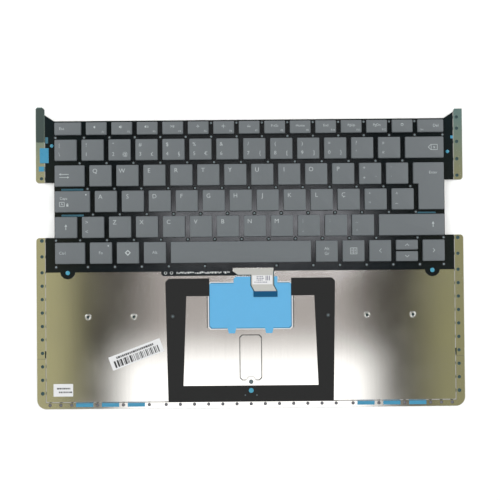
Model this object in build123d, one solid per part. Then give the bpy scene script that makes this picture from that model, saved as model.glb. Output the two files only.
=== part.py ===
from build123d import *
import math
import os

# Keyboard assembly of a slim laptop, lying with its keys up, in millimetres.
# +X runs to the right, +Y towards the function row, +Z up. The origin lies under the middle of the
# outline, on the surface that the assembly rests on.

# Key grid, seen from above
KEY_PITCH = 19.05
KEY_GAP = 3.2
ROW_PITCH = 18.2
ROW_GAP = 3.0
FUNCTION_DEPTH = 9.2
BACKSPACE_WIDTH = 27.35
TAB_WIDTH = 21.3
CAPS_WIDTH = 25.0
ESCAPE_WIDTH = 19.0
DELETE_WIDTH = 18.5
ARROW_WIDTH = 15.65
ARROW_GAP = 0.8

# Keycaps, their travel and the mechanism under them
CAP_HEIGHT = 1.9
CAP_SKIN = 0.75
CAP_WALL = 0.9
CAP_DRAFT = 8.0
TRAVEL = 1.3
TRAVEL_CLEARANCE = 0.2
ARM_WIDTH = 12.4
ARM_LENGTH = 10.4
ARM_BAR = 1.0
ARM_THICKNESS = 0.7
PIVOT_GAP = 0.15
MECHANISM_GAP = 0.05
ARM_END_GAP = 0.3
DOME_WIDTH = 5.2
DOME_TAPER = 20.0
STABILIZER_LENGTH = 7.0
STABILIZER_WIRE = 0.8
STABILIZER_INSET = 4.0

# Layers, from the surface upwards
BACKLIGHT = 0.75
SHEET = 0.5
JOGGLE = 0.6
MEMBRANE = 0.3
FILM = 0.15
GASKET = 0.25
LABEL = 0.1
STIFFENER = 0.2
NUT_HEIGHT = 0.8

# Carrier plate outline
DECK_MARGIN = 0.7
DECK_FRONT_MARGIN = 6.0
DECK_REAR_MARGIN = 1.1
SIDE_TAB = 7.0
FLANGE_WIDTH = 6.1
FRONT_FLANGE = 4.35
PALM_DEPTH = 102.5
NOTCH_OFFSET = 18.6
NOTCH_LENGTH = 39.0
EAR_SLOPE = 4.7
EAR_RISE = 10.1
EAR_BEVEL = 1.5
EAR_TIP = 1.0
RIGHT_EAR_DROP = 3.3
FRONT_CORNER = 6.5
EAR_CORNER = 2.2

# Holes and slots of the carrier plate
HOLE_WIDTH = 2.3
HOLE_INSET = 3.9
FRONT_HOLE_INSET = 2.65
REAR_HOLE_OFFSET = 2.0
LAST_HOLE_OFFSET = 10.95
LEFT_EAR_HOLE = 2.6
RIGHT_EAR_HOLES = (9.3, 17.3, 26.7)
RIGHT_EAR_FRONT_HOLE = 14.8
EAR_FRONT_HOLE = 3.1
CORNER_HOLES = (9.1, 16.7)
RELIEF_LENGTH = 5.0
RELIEF_WIDTH = 0.9
RELIEF_OFFSET = 36.0

# Touchpad area of the palm panel
GASKET_OFFSET = 5.0
GASKET_HALF = 60.1
GASKET_SIDE = 14.8
GASKET_ARM = 12.5
GASKET_BAR = 11.45
GASKET_LEAN = 1.65
GASKET_INNER_LEAN = 2.4
GASKET_CORNER = 2.4
GASKET_OVERHANG = 0.75
FILM_WIDTH = 57.5
FILM_DEPTH = 31.4
FILM_CORNER = 1.5
FILM_OFFSET = 3.7
FILM_EAR = 4.8
FILM_EAR_LEFT = 12.6
FILM_EAR_CUT = 1.5
FILM_EAR_RIGHT = 3.0
FILM_TAB = 3.9
FILM_TAB_WIDTH = 6.2
FILM_TAB_TAPER = 0.9
FILM_TAB_SPACING = 26.4
FILM_CLEARANCE = 0.2
TONGUE_WIDTH = 15.2
TONGUE_CORNER = 1.8
TONGUE_ARCH = 7.6
TONGUE_ARCH_RISE = 2.4
TONGUE_GAP = 1.4
TONGUE_FRONT_GAP = 3.9
EMBOSS = 0.35

# Flex tail and cover strip at the front of the key deck
TAIL_LEFT = 0.9
TAIL_WIDTH = 15.4
TAIL_ROOT = 2.0
TAIL_BRIDGE = 2.5
TAIL_RUN = 7.6
TAIL_STEP = 2.2
TAIL_STEP_RUN = 4.2
TAIL_BRANCH = 12.9
STIFFENER_DEPTH = 4.1
STIFFENER_OVERHANG = 0.8
COVER_LENGTH = 50.6
COVER_DEPTH = 3.1
COVER_SLANT = 3.5
COVER_CORNER = 1.4
COVER_GAP = 0.3
SCREW_TAB_WIDTH = 10.9
SCREW_TAB_DEPTH = 4.9
SCREW_TAB_X = 129.0

# Nuts, liners and labels
NUT_WIDTH = 4.5
NUT_BORE = 1.8
NUT_HOLE_MARGIN = 0.3
NUT_X = (82.4, 114.8)
NUT_OFFSET = 14.1
LINER_LENGTH = 12.2
LINER_WIDTH = 2.7
LINER_FIRST = 81.2
LINER_PITCH = 18.3
EAR_PATCH = (6.3, 10.6)
EAR_PATCH_Y = 24.7
EAR_CHIP = (3.7, 3.5)
EAR_CHIP_Y = 43.8
EAR_TAG = (1.8, 2.0)
EAR_TAG_Y = 23.6
LONG_LABEL = (38.7, 9.9)
LONG_LABEL_TILT = 20.5
LONG_LABEL_DROP = 26.7
LONG_LABEL_GAP = 1.0
CORNER_LABEL = (13.8, 8.8)
CORNER_LABEL_INSET = (5.0, 4.0)
TAIL_LABEL_INSET = 0.6
BACKLIGHT_INSET = 1.0

# Names of the keys, from left to right
FUNCTION_KEYS = ["f1", "f2", "f3", "f4", "f5", "f6", "f7", "f8", "f9", "f10", "f11", "f12", "power"]
NUMBER_KEYS = ["corner", "1", "2", "3", "4", "5", "6", "7", "8", "9", "0", "quote", "guillemet"]
TAB_ROW_KEYS = ["q", "w", "e", "r", "t", "y", "u", "i", "o", "p", "plus", "accent"]
CAPS_ROW_KEYS = ["a", "s", "d", "f", "g", "h", "j", "k", "l", "cedilla", "ordinal", "tilde"]
SHIFT_ROW_KEYS = ["left_shift", "angle", "z", "x", "c", "v", "b", "n", "m", "comma", "period", "minus"]
LEFT_BOTTOM_KEYS = ["function", "start", "alt"]
RIGHT_BOTTOM_KEYS = ["alt_right", "menu", "left", "up_down", "right"]
WIDE_KEYS = ["space", "right_shift"]

# Heights that follow from the layers
flange_bottom = BACKLIGHT - JOGGLE
flange_top = flange_bottom + SHEET
panel_bottom = BACKLIGHT
panel_top = panel_bottom + SHEET
deck_top = panel_top + MEMBRANE
rim = deck_top + TRAVEL + TRAVEL_CLEARANCE
ceiling = rim + CAP_HEIGHT - CAP_SKIN
mechanism_room = ceiling - deck_top - 2 * MECHANISM_GAP
mechanism_middle = (ceiling + deck_top) / 2

# Outline that follows from the key grid
cap_width = KEY_PITCH - KEY_GAP
cap_depth = ROW_PITCH - ROW_GAP
field_width = len(NUMBER_KEYS) * KEY_PITCH + BACKSPACE_WIDTH
field_depth = 5 * ROW_PITCH + FUNCTION_DEPTH
deck_half = field_width / 2 + DECK_MARGIN
fold_half = deck_half + SIDE_TAB
panel_half = fold_half - JOGGLE
plate_half = fold_half + FLANGE_WIDTH
plate_depth = PALM_DEPTH + field_depth + DECK_REAR_MARGIN + EAR_RISE
plate_front = -plate_depth / 2
ear_rear = plate_depth / 2
deck_rear = ear_rear - EAR_RISE
field_front = plate_front + PALM_DEPTH
deck_front = field_front - DECK_FRONT_MARGIN
notch_front = field_front + NOTCH_OFFSET
notch_rear = notch_front + NOTCH_LENGTH
fold_front = plate_front + FRONT_FLANGE
panel_front = fold_front + JOGGLE
row_front = [field_front + row * ROW_PITCH for row in range(6)]

# Touchpad area, measured forwards from the key deck
gasket_rear = deck_front - GASKET_OFFSET
gasket_arm_front = gasket_rear - GASKET_ARM
gasket_front = panel_front - GASKET_OVERHANG
gasket_bar_rear = gasket_front + GASKET_BAR
film_rear = gasket_rear - FILM_OFFSET
film_front = film_rear - FILM_DEPTH
tongue_rear = film_front - FILM_TAB - TONGUE_GAP
tongue_front = gasket_bar_rear + TONGUE_FRONT_GAP
nut_y = gasket_arm_front - NUT_OFFSET


def lay_row(keys, front, depth):
    """Boxes of a row's caps from left to right; the key without a width takes what is left."""
    taken = sum(width for name, width in keys if width)
    spare = field_width - taken - KEY_GAP * (len(keys) - 1)
    boxes = {}
    x = -field_width / 2
    for name, width in keys:
        width = width or spare
        boxes[name] = (x, front, x + width, front + depth)
        x += width + KEY_GAP
    return boxes


def function_row():
    count = len(FUNCTION_KEYS)
    shared = field_width - ESCAPE_WIDTH - DELETE_WIDTH - KEY_GAP * (count + 1)
    keys = [("escape", ESCAPE_WIDTH)]
    keys += [(name, shared / count) for name in FUNCTION_KEYS]
    keys += [("delete", DELETE_WIDTH)]
    return lay_row(keys, row_front[5], FUNCTION_DEPTH)


def number_row():
    keys = [(name, cap_width) for name in NUMBER_KEYS] + [("backspace", None)]
    return lay_row(keys, row_front[4], cap_depth)


def tab_row():
    keys = [("tab", TAB_WIDTH)] + [(name, cap_width) for name in TAB_ROW_KEYS] + [("enter", None)]
    return lay_row(keys, row_front[3], cap_depth)


def caps_row():
    keys = [("caps", CAPS_WIDTH)] + [(name, cap_width) for name in CAPS_ROW_KEYS] + [("enter_foot", None)]
    return lay_row(keys, row_front[2], cap_depth)


def shift_row():
    keys = [(name, cap_width) for name in SHIFT_ROW_KEYS] + [("right_shift", None)]
    return lay_row(keys, row_front[1], cap_depth)


def bottom_row():
    """The bottom row, where one place holds the two half-height arrow keys."""
    keys = [("control", TAB_WIDTH)] + [(name, cap_width) for name in LEFT_BOTTOM_KEYS] + [("space", None)]
    keys += [(name, ARROW_WIDTH) for name in RIGHT_BOTTOM_KEYS]
    boxes = lay_row(keys, row_front[0], cap_depth)
    x0, y0, x1, y1 = boxes.pop("up_down")
    half = (y1 - y0 - ARROW_GAP) / 2
    boxes["down"] = (x0, y0, x1, y0 + half)
    boxes["up"] = (x0, y1 - half, x1, y1)
    return boxes


def middle(box):
    x0, y0, x1, y1 = box
    return (x0 + x1) / 2, (y0 + y1) / 2


def box_face(box, z, inset=0):
    """A rectangle at height z, drawn in from the box's edges."""
    x0, y0, x1, y1 = box
    x, y = middle(box)
    return Pos(x, y, z) * Rectangle(x1 - x0 - 2 * inset, y1 - y0 - 2 * inset)


def slab(box, z, thickness):
    return extrude(box_face(box, z), thickness)


def mirrored(right):
    """A closed outline from its right half, given from rear to front."""
    return Polygon(*[(-x, y) for x, y in right], *reversed(right), align=None)


def keycap(*boxes):
    """A tapered cap that is open below; an L-shaped one is the union of two boxes."""
    body = Part() + [extrude(box_face(box, rim), CAP_HEIGHT, taper=CAP_DRAFT) for box in boxes]
    return body - [extrude(box_face(box, rim, CAP_WALL), CAP_HEIGHT - CAP_SKIN) for box in boxes]


def arm_tilt(length, thickness):
    """Angle at which a tilted arm just fills the height between the deck and the cap."""
    diagonal = math.hypot(length, thickness)
    return math.degrees(math.asin(mechanism_room / diagonal) - math.atan2(thickness, length))


def u_arm(width, length, bar, thickness):
    """A flat U, closed at its rear end, lying in the XY plane."""
    opening = Pos(0, -bar / 2) * Rectangle(width - 2 * bar, length - bar)
    return extrude(Rectangle(width, length) - opening, thickness / 2, both=True)


def arm_length(box):
    """The arms' length, shorter where the cap's hollow is shorter."""
    x0, y0, x1, y1 = box
    return min(ARM_LENGTH, y1 - y0 - 2 * CAP_WALL - 2 * ARM_END_GAP)


def outer_arm(box):
    x, y = middle(box)
    length = arm_length(box)
    arm = u_arm(ARM_WIDTH, length, ARM_BAR, ARM_THICKNESS)
    return Pos(x, y, mechanism_middle) * Rot(arm_tilt(length, ARM_THICKNESS), 0, 0) * arm


def inner_arm(box):
    """The arm that crosses inside the outer one, with its closed end at the front."""
    x, y = middle(box)
    length = arm_length(box)
    arm = u_arm(ARM_WIDTH - 2 * ARM_BAR - 2 * PIVOT_GAP, length, ARM_BAR, ARM_THICKNESS)
    turned = Rot(-arm_tilt(length, ARM_THICKNESS), 0, 0) * Rot(0, 0, 180)
    return Pos(x, y, mechanism_middle) * turned * arm


def dome(box):
    """A tapered rubber dome, narrower where the arms leave less room."""
    x, y = middle(box)
    width = min(DOME_WIDTH, arm_length(box) - 2 * ARM_BAR - 2 * ARM_END_GAP)
    height = ceiling - MECHANISM_GAP - deck_top
    taper = min(DOME_TAPER, math.degrees(math.atan2(width / 4, height)))
    return extrude(Pos(x, y, deck_top) * RegularPolygon(width / 2, 6), height, taper=taper)


def stabilizer(box):
    """A bent wire along the rear wall of a wide cap, with a leg at each end down to the deck."""
    x0, y0, x1, y1 = box
    x, y = middle(box)
    tilt = arm_tilt(STABILIZER_LENGTH, STABILIZER_WIRE)
    turn = math.radians(tilt)
    reach = (STABILIZER_LENGTH * math.cos(turn) + STABILIZER_WIRE * math.sin(turn)) / 2
    wire = u_arm(x1 - x0 - 2 * STABILIZER_INSET, STABILIZER_LENGTH, STABILIZER_WIRE, STABILIZER_WIRE)
    rear = y1 - CAP_WALL - ARM_END_GAP
    return Pos(x, rear - reach, mechanism_middle) * Rot(tilt, 0, 0) * wire


def plate_outline():
    """Outline of the carrier plate: ears, side notches and palm panel. Only the right ear is shorter."""
    right = [
        (deck_half, deck_rear),
        (fold_half, deck_rear + EAR_SLOPE),
        (fold_half + EAR_BEVEL, ear_rear),
        (plate_half - EAR_TIP, ear_rear),
        (plate_half, ear_rear - EAR_TIP),
        (plate_half, notch_rear),
        (deck_half, notch_rear),
        (deck_half, notch_front),
        (plate_half, notch_front),
        (plate_half, plate_front),
    ]
    outline = mirrored(right)
    for height, radius in ((plate_front, FRONT_CORNER), (notch_front, EAR_CORNER), (notch_rear, EAR_CORNER)):
        corners = [v for v in outline.vertices() if abs(v.Y - height) < 0.01 and abs(v.X) > fold_half]
        outline = fillet(corners, radius)
    return outline - box_face((fold_half, ear_rear - RIGHT_EAR_DROP, plate_half, ear_rear), 0)


def raised_panel(z):
    """The block that lifts the panel above the flange, with sloping sides; it runs past the rear edge."""
    box = (-fold_half, fold_front, fold_half, ear_rear + 2 * JOGGLE)
    return extrude(box_face(box, z), JOGGLE, taper=45)


def tongue(z, wall):
    """The embossed tongue in front of the film, with cut corners and an arch cut over the screw."""
    x = TONGUE_WIDTH / 2
    cut = TONGUE_CORNER
    right = [
        (x - cut, tongue_rear),
        (x, tongue_rear - cut),
        (x, tongue_front + cut),
        (x - cut, tongue_front),
    ]
    block = extrude(Pos(0, 0, z) * mirrored(right), EMBOSS, taper=45)
    half = TONGUE_ARCH / 2 + wall
    arch = mirrored([(half / 2, tongue_front + TONGUE_ARCH_RISE + wall), (half, tongue_front)])
    return block - extrude(Pos(0, 0, z) * arch, EMBOSS)


def corner_hole_spots():
    """The first and last hole of each side flange."""
    x = plate_half - HOLE_INSET
    ends = (notch_front - REAR_HOLE_OFFSET, plate_front + LAST_HOLE_OFFSET)
    return [(side * x, y) for side in (-1, 1) for y in ends]


def flange_hole_spots():
    """All other holes: along the sides, the front edge and the ears."""
    x = plate_half - HOLE_INSET
    rear = notch_front - REAR_HOLE_OFFSET
    turn = deck_front
    last = plate_front + LAST_HOLE_OFFSET
    side = [(x, (rear + turn) / 2)] + [(x, turn + (last - turn) * step / 9) for step in range(9)]
    side += [(x, notch_rear + EAR_FRONT_HOLE)]
    single = [(-x, ear_rear - LEFT_EAR_HOLE), (x, notch_rear + RIGHT_EAR_FRONT_HOLE)]
    single += [(x, ear_rear - drop) for drop in RIGHT_EAR_HOLES]
    y = plate_front + FRONT_HOLE_INSET
    side += [(GASKET_HALF * step / 6, y) for step in range(1, 7)]
    side += [(LINER_FIRST + LINER_PITCH * (step - 0.5), y) for step in range(4)]
    side += [(plate_half - inset, y) for inset in CORNER_HOLES]
    return [(0, y)] + single + side + [(-x, y) for x, y in side]


def nut_spots():
    return [(side * x, nut_y) for x in NUT_X for side in (-1, 1)]


def plate_cuts():
    """Everything punched through the sheet. The many small holes are six-sided to keep the model light."""
    cuts = Sketch() + [Pos(x, y) * Circle(HOLE_WIDTH / 2) for x, y in corner_hole_spots()]
    cuts += [Pos(x, y) * RegularPolygon(HOLE_WIDTH / 2, 6) for x, y in flange_hole_spots()]
    cuts += [Pos(x, y) * RegularPolygon(NUT_BORE / 2 + NUT_HOLE_MARGIN, 6) for x, y in nut_spots()]
    relief = Rectangle(RELIEF_WIDTH, RELIEF_LENGTH)
    for side in (-1, 1):
        cuts += Pos(side * fold_half, plate_front + RELIEF_OFFSET + RELIEF_LENGTH / 2) * relief
    return cuts


def carrier_plate():
    outline = plate_outline()
    sheet = extrude(Pos(0, 0, flange_bottom) * outline, SHEET)
    sheet = sheet + raised_panel(flange_top) - raised_panel(flange_bottom)
    sheet = sheet & extrude(outline, panel_top)
    sheet = sheet + tongue(panel_top, 0) - tongue(panel_bottom, SHEET)
    return sheet - extrude(plate_cuts(), panel_top + EMBOSS)


def tail_notch():
    """Box at the deck's front edge where the flex tail comes out."""
    return (TAIL_LEFT - TAIL_BRANCH, deck_front - TAIL_BRIDGE, TAIL_LEFT + TAIL_WIDTH, deck_front + TAIL_ROOT)


def switch_membrane():
    """The black film stack: the plate's outline behind the palm panel, with two rounded screw tabs."""
    deck = (-panel_half, deck_front, panel_half, ear_rear)
    film = plate_outline() & box_face(deck, 0)
    for side in (-1, 1):
        place = Pos(side * SCREW_TAB_X, deck_front - SCREW_TAB_DEPTH + SCREW_TAB_WIDTH / 2)
        film += place * RegularPolygon(SCREW_TAB_WIDTH / 2, 12)
    film -= box_face(tail_notch(), 0, -COVER_GAP)
    return extrude(Pos(0, 0, panel_top) * film, MEMBRANE)


def backlight_panel():
    box = (-deck_half, deck_front, deck_half, deck_rear)
    return extrude(box_face(box, 0, BACKLIGHT_INSET), BACKLIGHT)


def touchpad_gasket():
    """The black frame, wider at its rear, whose rear arms stop beside the film."""
    outer_rear = GASKET_HALF
    outer_front = GASKET_HALF - GASKET_LEAN
    inner_rear = outer_rear - GASKET_SIDE
    inner_front = inner_rear + GASKET_INNER_LEAN
    arm_end = FILM_WIDTH / 2 + FILM_CLEARANCE
    frame = mirrored(
        [
            (outer_rear - GASKET_CORNER, gasket_rear),
            (outer_rear, gasket_rear - GASKET_CORNER),
            (outer_front, gasket_front),
        ]
    )
    frame -= mirrored([(inner_rear, gasket_arm_front), (inner_front, gasket_bar_rear)])
    frame -= box_face((-arm_end, gasket_arm_front, arm_end, gasket_rear), 0)
    return extrude(Pos(0, 0, panel_top) * frame, GASKET)


def insulating_film():
    """The blue film: a sheet with an ear round the flex tail, cut at its left, and two tapered pull tabs."""
    half = FILM_WIDTH / 2
    sheet = [(half, film_rear), (half, film_front + FILM_CORNER), (half - FILM_CORNER, film_front)]
    film = Pos(0, 0, panel_top) * mirrored(sheet)
    ear_right = TAIL_LEFT + TAIL_WIDTH + FILM_EAR_RIGHT
    ear_left = TAIL_LEFT - FILM_EAR_LEFT
    ear_rear_edge = film_rear + FILM_EAR
    ear = [
        (ear_left, film_rear),
        (ear_right, film_rear),
        (ear_right, ear_rear_edge),
        (ear_left + FILM_EAR_CUT, ear_rear_edge),
        (ear_left, ear_rear_edge - FILM_EAR_CUT),
    ]
    film += Pos(0, 0, panel_top) * Polygon(*ear, align=None)
    reach = FILM_TAB_WIDTH / 2
    tab = mirrored([(reach, film_front), (reach - FILM_TAB_TAPER, film_front - FILM_TAB)])
    for side in (-1, 1):
        film += Pos(side * FILM_TAB_SPACING / 2, 0, panel_top) * tab
    return extrude(film, FILM)


def tail_bottom():
    """Height of the flex tail, which lies on the film."""
    return panel_top + FILM


def stiffener_box():
    x0 = TAIL_LEFT + TAIL_STEP
    rear = deck_front - TAIL_BRIDGE - TAIL_RUN - TAIL_STEP_RUN
    return (x0, rear - STIFFENER_DEPTH, x0 + TAIL_WIDTH, rear)


def flex_tail():
    """The flat tail: a slanted branch along the deck, a straight run and a small step to the right."""
    x0, front, x1, rear = tail_notch()
    sx0, sfront, sx1, srear = stiffener_box()
    run_front = front - TAIL_RUN
    points = [
        (x0, rear),
        (x0, deck_front),
        (x0 + COVER_SLANT, front),
        (TAIL_LEFT, front),
        (TAIL_LEFT, run_front),
        (sx0, srear),
        (sx0, sfront),
        (sx1, sfront),
        (sx1, srear),
        (x1, run_front),
        (x1, rear),
    ]
    return extrude(Pos(0, 0, tail_bottom()) * Polygon(*points, align=None), FILM)


def tail_stiffener():
    x0, y0, x1, y1 = stiffener_box()
    box = (x0 - STIFFENER_OVERHANG, y0, x1 + STIFFENER_OVERHANG, y1)
    return slab(box, tail_bottom() + FILM, STIFFENER)


def tail_cover():
    """The black strip along the deck's front edge, cut to the slant of the flex tail."""
    right = tail_notch()[0] - COVER_GAP
    left = right - COVER_LENGTH
    front = deck_front - COVER_DEPTH
    slant = COVER_SLANT * COVER_DEPTH / TAIL_BRIDGE
    points = [
        (left, deck_front),
        (left, front + COVER_CORNER),
        (left + COVER_CORNER, front),
        (right + slant, front),
        (right, deck_front),
    ]
    return extrude(Pos(0, 0, panel_top) * Polygon(*points, align=None), FILM)


def palm_nuts():
    """Press nuts, eight-sided like their bores to keep the model light."""
    nut = RegularPolygon(NUT_WIDTH / 2, 8) - RegularPolygon(NUT_BORE / 2, 8)
    return [extrude(Pos(x, y, panel_top) * nut, NUT_HEIGHT) for x, y in nut_spots()]


def patch(x, y, size, z):
    return extrude(Pos(x, y, z) * Rectangle(*size), FILM)


def release_liners():
    """Strips on the front flange between its holes, and the loose patches on the ears."""
    strips = []
    for step in range(3):
        for side in (-1, 1):
            x = side * (LINER_FIRST + LINER_PITCH * step)
            strips.append(patch(x, plate_front + FRONT_HOLE_INSET, (LINER_LENGTH, LINER_WIDTH), flange_top))
    return strips + [
        patch(-fold_half, notch_rear + EAR_PATCH_Y - EAR_PATCH[1] / 2, EAR_PATCH, deck_top),
        patch(HOLE_INSET - plate_half, ear_rear - EAR_CHIP_Y, EAR_CHIP, flange_top),
        patch(panel_half - EAR_TAG[0] / 2, ear_rear - EAR_TAG_Y, EAR_TAG, deck_top),
    ]


def paper_labels():
    """The tilted label beside the gasket, the small one in the corner and the one on the flex tail."""
    length, width = LONG_LABEL
    tilt = math.radians(LONG_LABEL_TILT)
    reach = (length * math.cos(tilt) + width * math.sin(tilt)) / 2
    x = -(GASKET_HALF + LONG_LABEL_GAP + reach)
    place = Pos(x, nut_y - LONG_LABEL_DROP, panel_top) * Rot(0, 0, LONG_LABEL_TILT)
    long_label = place * Rectangle(length, width)
    left = CORNER_LABEL_INSET[0] - panel_half
    front = panel_front + CORNER_LABEL_INSET[1]
    corner = (left, front, left + CORNER_LABEL[0], front + CORNER_LABEL[1])
    run_rear = deck_front - TAIL_BRIDGE
    tail = (TAIL_LEFT, run_rear - TAIL_RUN, TAIL_LEFT + TAIL_WIDTH, run_rear)
    tail_face = box_face(tail, tail_bottom() + FILM, TAIL_LABEL_INSET)
    return [extrude(face, LABEL) for face in (long_label, box_face(corner, panel_top), tail_face)]


def save(node, shapes):
    """Write one node: a single solid, or a list of solids kept as a group."""
    shape = Compound(shapes) if isinstance(shapes, list) else shapes
    export_step(shape, f"parts/{node}.step")


def main():
    os.makedirs("parts", exist_ok=True)
    function_keys = function_row()
    number_keys = number_row()
    bottom_keys = bottom_row()
    enter_foot = caps_row()["enter_foot"]
    x0, y0, x1, y1 = enter_foot
    enter_stem = (x0, y0, x1, row_front[3] + cap_depth)
    moving = {**tab_row(), **caps_row(), **shift_row()}
    moving.pop("enter_foot")
    moving["space"] = bottom_keys.pop("space")
    moving["backspace"] = number_keys.pop("backspace")
    for name, box in moving.items():
        cap = keycap(box, enter_stem) if name == "enter" else keycap(box)
        save(f"key_{name}", cap)
    save("function_row_keycaps", [keycap(box) for box in function_keys.values()])
    save("number_row_keycaps", [keycap(box) for box in number_keys.values()])
    save("bottom_row_keycaps", [keycap(box) for box in bottom_keys.values()])
    stands = {**function_keys, **number_keys, **bottom_keys, **moving, "enter": enter_stem}
    save("rubber_domes", [dome(box) for box in stands.values()])
    save("outer_scissor_arms", [outer_arm(box) for box in stands.values()])
    save("inner_scissor_arms", [inner_arm(box) for box in stands.values()])
    save("stabilizer_bars", [stabilizer(stands[name]) for name in WIDE_KEYS])
    save("carrier_plate", carrier_plate())
    save("switch_membrane", switch_membrane())
    save("backlight_panel", backlight_panel())
    save("touchpad_gasket", touchpad_gasket())
    save("insulating_film", insulating_film())
    save("flex_tail", flex_tail())
    save("tail_stiffener", tail_stiffener())
    save("tail_cover", tail_cover())
    save("palm_nuts", palm_nuts())
    save("release_liners", release_liners())
    save("paper_labels", paper_labels())


main()
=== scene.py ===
"""Looks of a slim laptop keyboard assembly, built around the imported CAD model."""

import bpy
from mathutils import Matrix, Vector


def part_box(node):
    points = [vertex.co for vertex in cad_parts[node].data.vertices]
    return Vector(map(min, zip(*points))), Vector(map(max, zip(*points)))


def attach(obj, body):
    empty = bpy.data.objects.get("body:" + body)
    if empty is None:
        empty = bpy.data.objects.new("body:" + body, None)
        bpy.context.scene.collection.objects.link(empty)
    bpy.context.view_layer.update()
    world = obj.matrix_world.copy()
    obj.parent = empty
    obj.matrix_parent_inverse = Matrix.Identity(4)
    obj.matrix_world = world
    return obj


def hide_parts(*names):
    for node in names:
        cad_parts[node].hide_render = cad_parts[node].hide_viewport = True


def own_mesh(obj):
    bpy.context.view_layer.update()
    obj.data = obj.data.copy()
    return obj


bl_info = {
    "name": "Laptop keyboard looks",
    "version": (1, 0, 0),
    "blender": (4, 5, 0),
    "location": "3D View > Sidebar > Keyboard",
    "description": "Keycaps, mechanisms, fittings, finishes and stage of a laptop keyboard",
    "category": "Object",
}

import math
import random

import bmesh
import bpy
from mathutils import Matrix, Vector

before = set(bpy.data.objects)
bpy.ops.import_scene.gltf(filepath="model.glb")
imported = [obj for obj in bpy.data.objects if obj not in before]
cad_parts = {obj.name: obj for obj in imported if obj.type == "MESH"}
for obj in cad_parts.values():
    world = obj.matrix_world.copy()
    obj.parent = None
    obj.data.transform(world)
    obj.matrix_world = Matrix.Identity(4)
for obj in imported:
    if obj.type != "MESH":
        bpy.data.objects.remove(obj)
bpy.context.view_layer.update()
MM = 0.001

# Heights of the CAD layers and ends of the key field, in metres
CAP_RIM, CAP_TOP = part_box("key_q")[0].z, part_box("key_q")[1].z
DECK_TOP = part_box("switch_membrane")[1].z
PANEL_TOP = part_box("switch_membrane")[0].z
GASKET_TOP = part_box("touchpad_gasket")[1].z
TAIL_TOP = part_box("flex_tail")[1].z
COVER_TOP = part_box("tail_cover")[1].z
FLANGE_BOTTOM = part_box("carrier_plate")[0].z
FLANGE_TOP = FLANGE_BOTTOM + 0.5 * MM
MECHANISM_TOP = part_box("rubber_domes")[1].z
FIELD_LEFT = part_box("function_row_keycaps")[0].x
FIELD_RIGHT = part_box("function_row_keycaps")[1].x

# Outline of the carrier plate, in millimetres
PLATE_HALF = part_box("carrier_plate")[1].x / MM
PLATE_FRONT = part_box("carrier_plate")[0].y / MM


def hex_colour(text):
    """Linear colour with full alpha from an sRGB hex value."""
    parts = [int(text[i:i + 2], 16) / 255 for i in (1, 3, 5)]
    linear = [c / 12.92 if c <= 0.04045 else ((c + 0.055) / 1.055) ** 2.4 for c in parts]
    return (*linear, 1.0)


def length_property(name, description, millimetres):
    return bpy.props.FloatProperty(
        name=name, description=description, default=millimetres * MM, unit="LENGTH", precision=5
    )


def angle_property(name, description, degrees):
    return bpy.props.FloatProperty(
        name=name, description=description, default=math.radians(degrees), unit="ROTATION"
    )


def colour_property(name, description, hex_value):
    return bpy.props.FloatVectorProperty(
        name=name, description=description, default=hex_colour(hex_value), size=4, subtype="COLOR",
        min=0, max=1,
    )


class KeyboardSizes(bpy.types.PropertyGroup):
    """Sizes of the pieces that the CAD model leaves to the looks."""

    key_gap: length_property("Key gap", "Gap between two caps of a row", 3.2)
    cap_width: length_property("Cap width", "Width of a letter key's cap", 15.85)
    cap_inset: length_property("Cap inset", "How far a cap's top draws in from its rim", 0.27)
    cap_corner: length_property("Cap corner", "Radius of a cap's upright corners", 0.7)
    cap_edge: length_property("Cap edge", "Radius of a cap's upper edge", 0.28)
    cap_wall: length_property("Cap wall", "Thickness of a cap's skirt", 0.9)
    cap_skin: length_property("Cap skin", "Thickness of a cap's top", 0.75)
    ink: length_property("Ink", "Thickness of printed ink", 0.015)
    letter: length_property("Letter size", "Size of the letters on the keys", 4.3)
    rivet: length_property("Rivet", "Diameter of the deck's rivets", 3.0)
    arm_width: length_property("Arm width", "Width of the outer scissor arm", 12.4)
    arm_length: length_property("Arm length", "Length of a scissor arm", 10.4)
    arm_bar: length_property("Arm bar", "Width of an arm's bars", 1.0)
    arm_thickness: length_property("Arm thickness", "Thickness of an arm", 0.7)
    dome: length_property("Dome", "Diameter of a rubber dome's foot", 5.2)


class KeyboardColours(bpy.types.PropertyGroup):
    """Colours that a user may change."""

    keycap: colour_property("Keycap", "Moulded keycap plastic", "#63686B")
    legend: colour_property("Legend", "Light-passing print on the caps", "#B4BABB")
    deck: colour_property("Deck", "Film over the switch membrane", "#0B1317")
    steel: colour_property("Steel", "Bare steel of the carrier plate", "#DCDAD6")
    foam: colour_property("Foam", "Adhesive foam round the touchpad", "#222222")
    film: colour_property("Film", "Insulating film", "#5DA6D2")
    liner: colour_property("Liner", "Release liner", "#4089AA")
    stiffener: colour_property("Stiffener", "Stiffener of the flex tail", "#094A70")
    # Painted shade: the colour of the dark sheet that stands for the shade in the flange holes and slots, the
    # nut bores and along the tail's sides
    tape: colour_property("Tape", "Tape behind the flange holes", "#2E4A4C")
    paper: colour_property("Paper", "Label paper", "#D8D8D9")


def sizes():
    return bpy.context.scene.keyboard_sizes


def colours():
    return bpy.context.scene.keyboard_colours


# Layout of the keys

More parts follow.
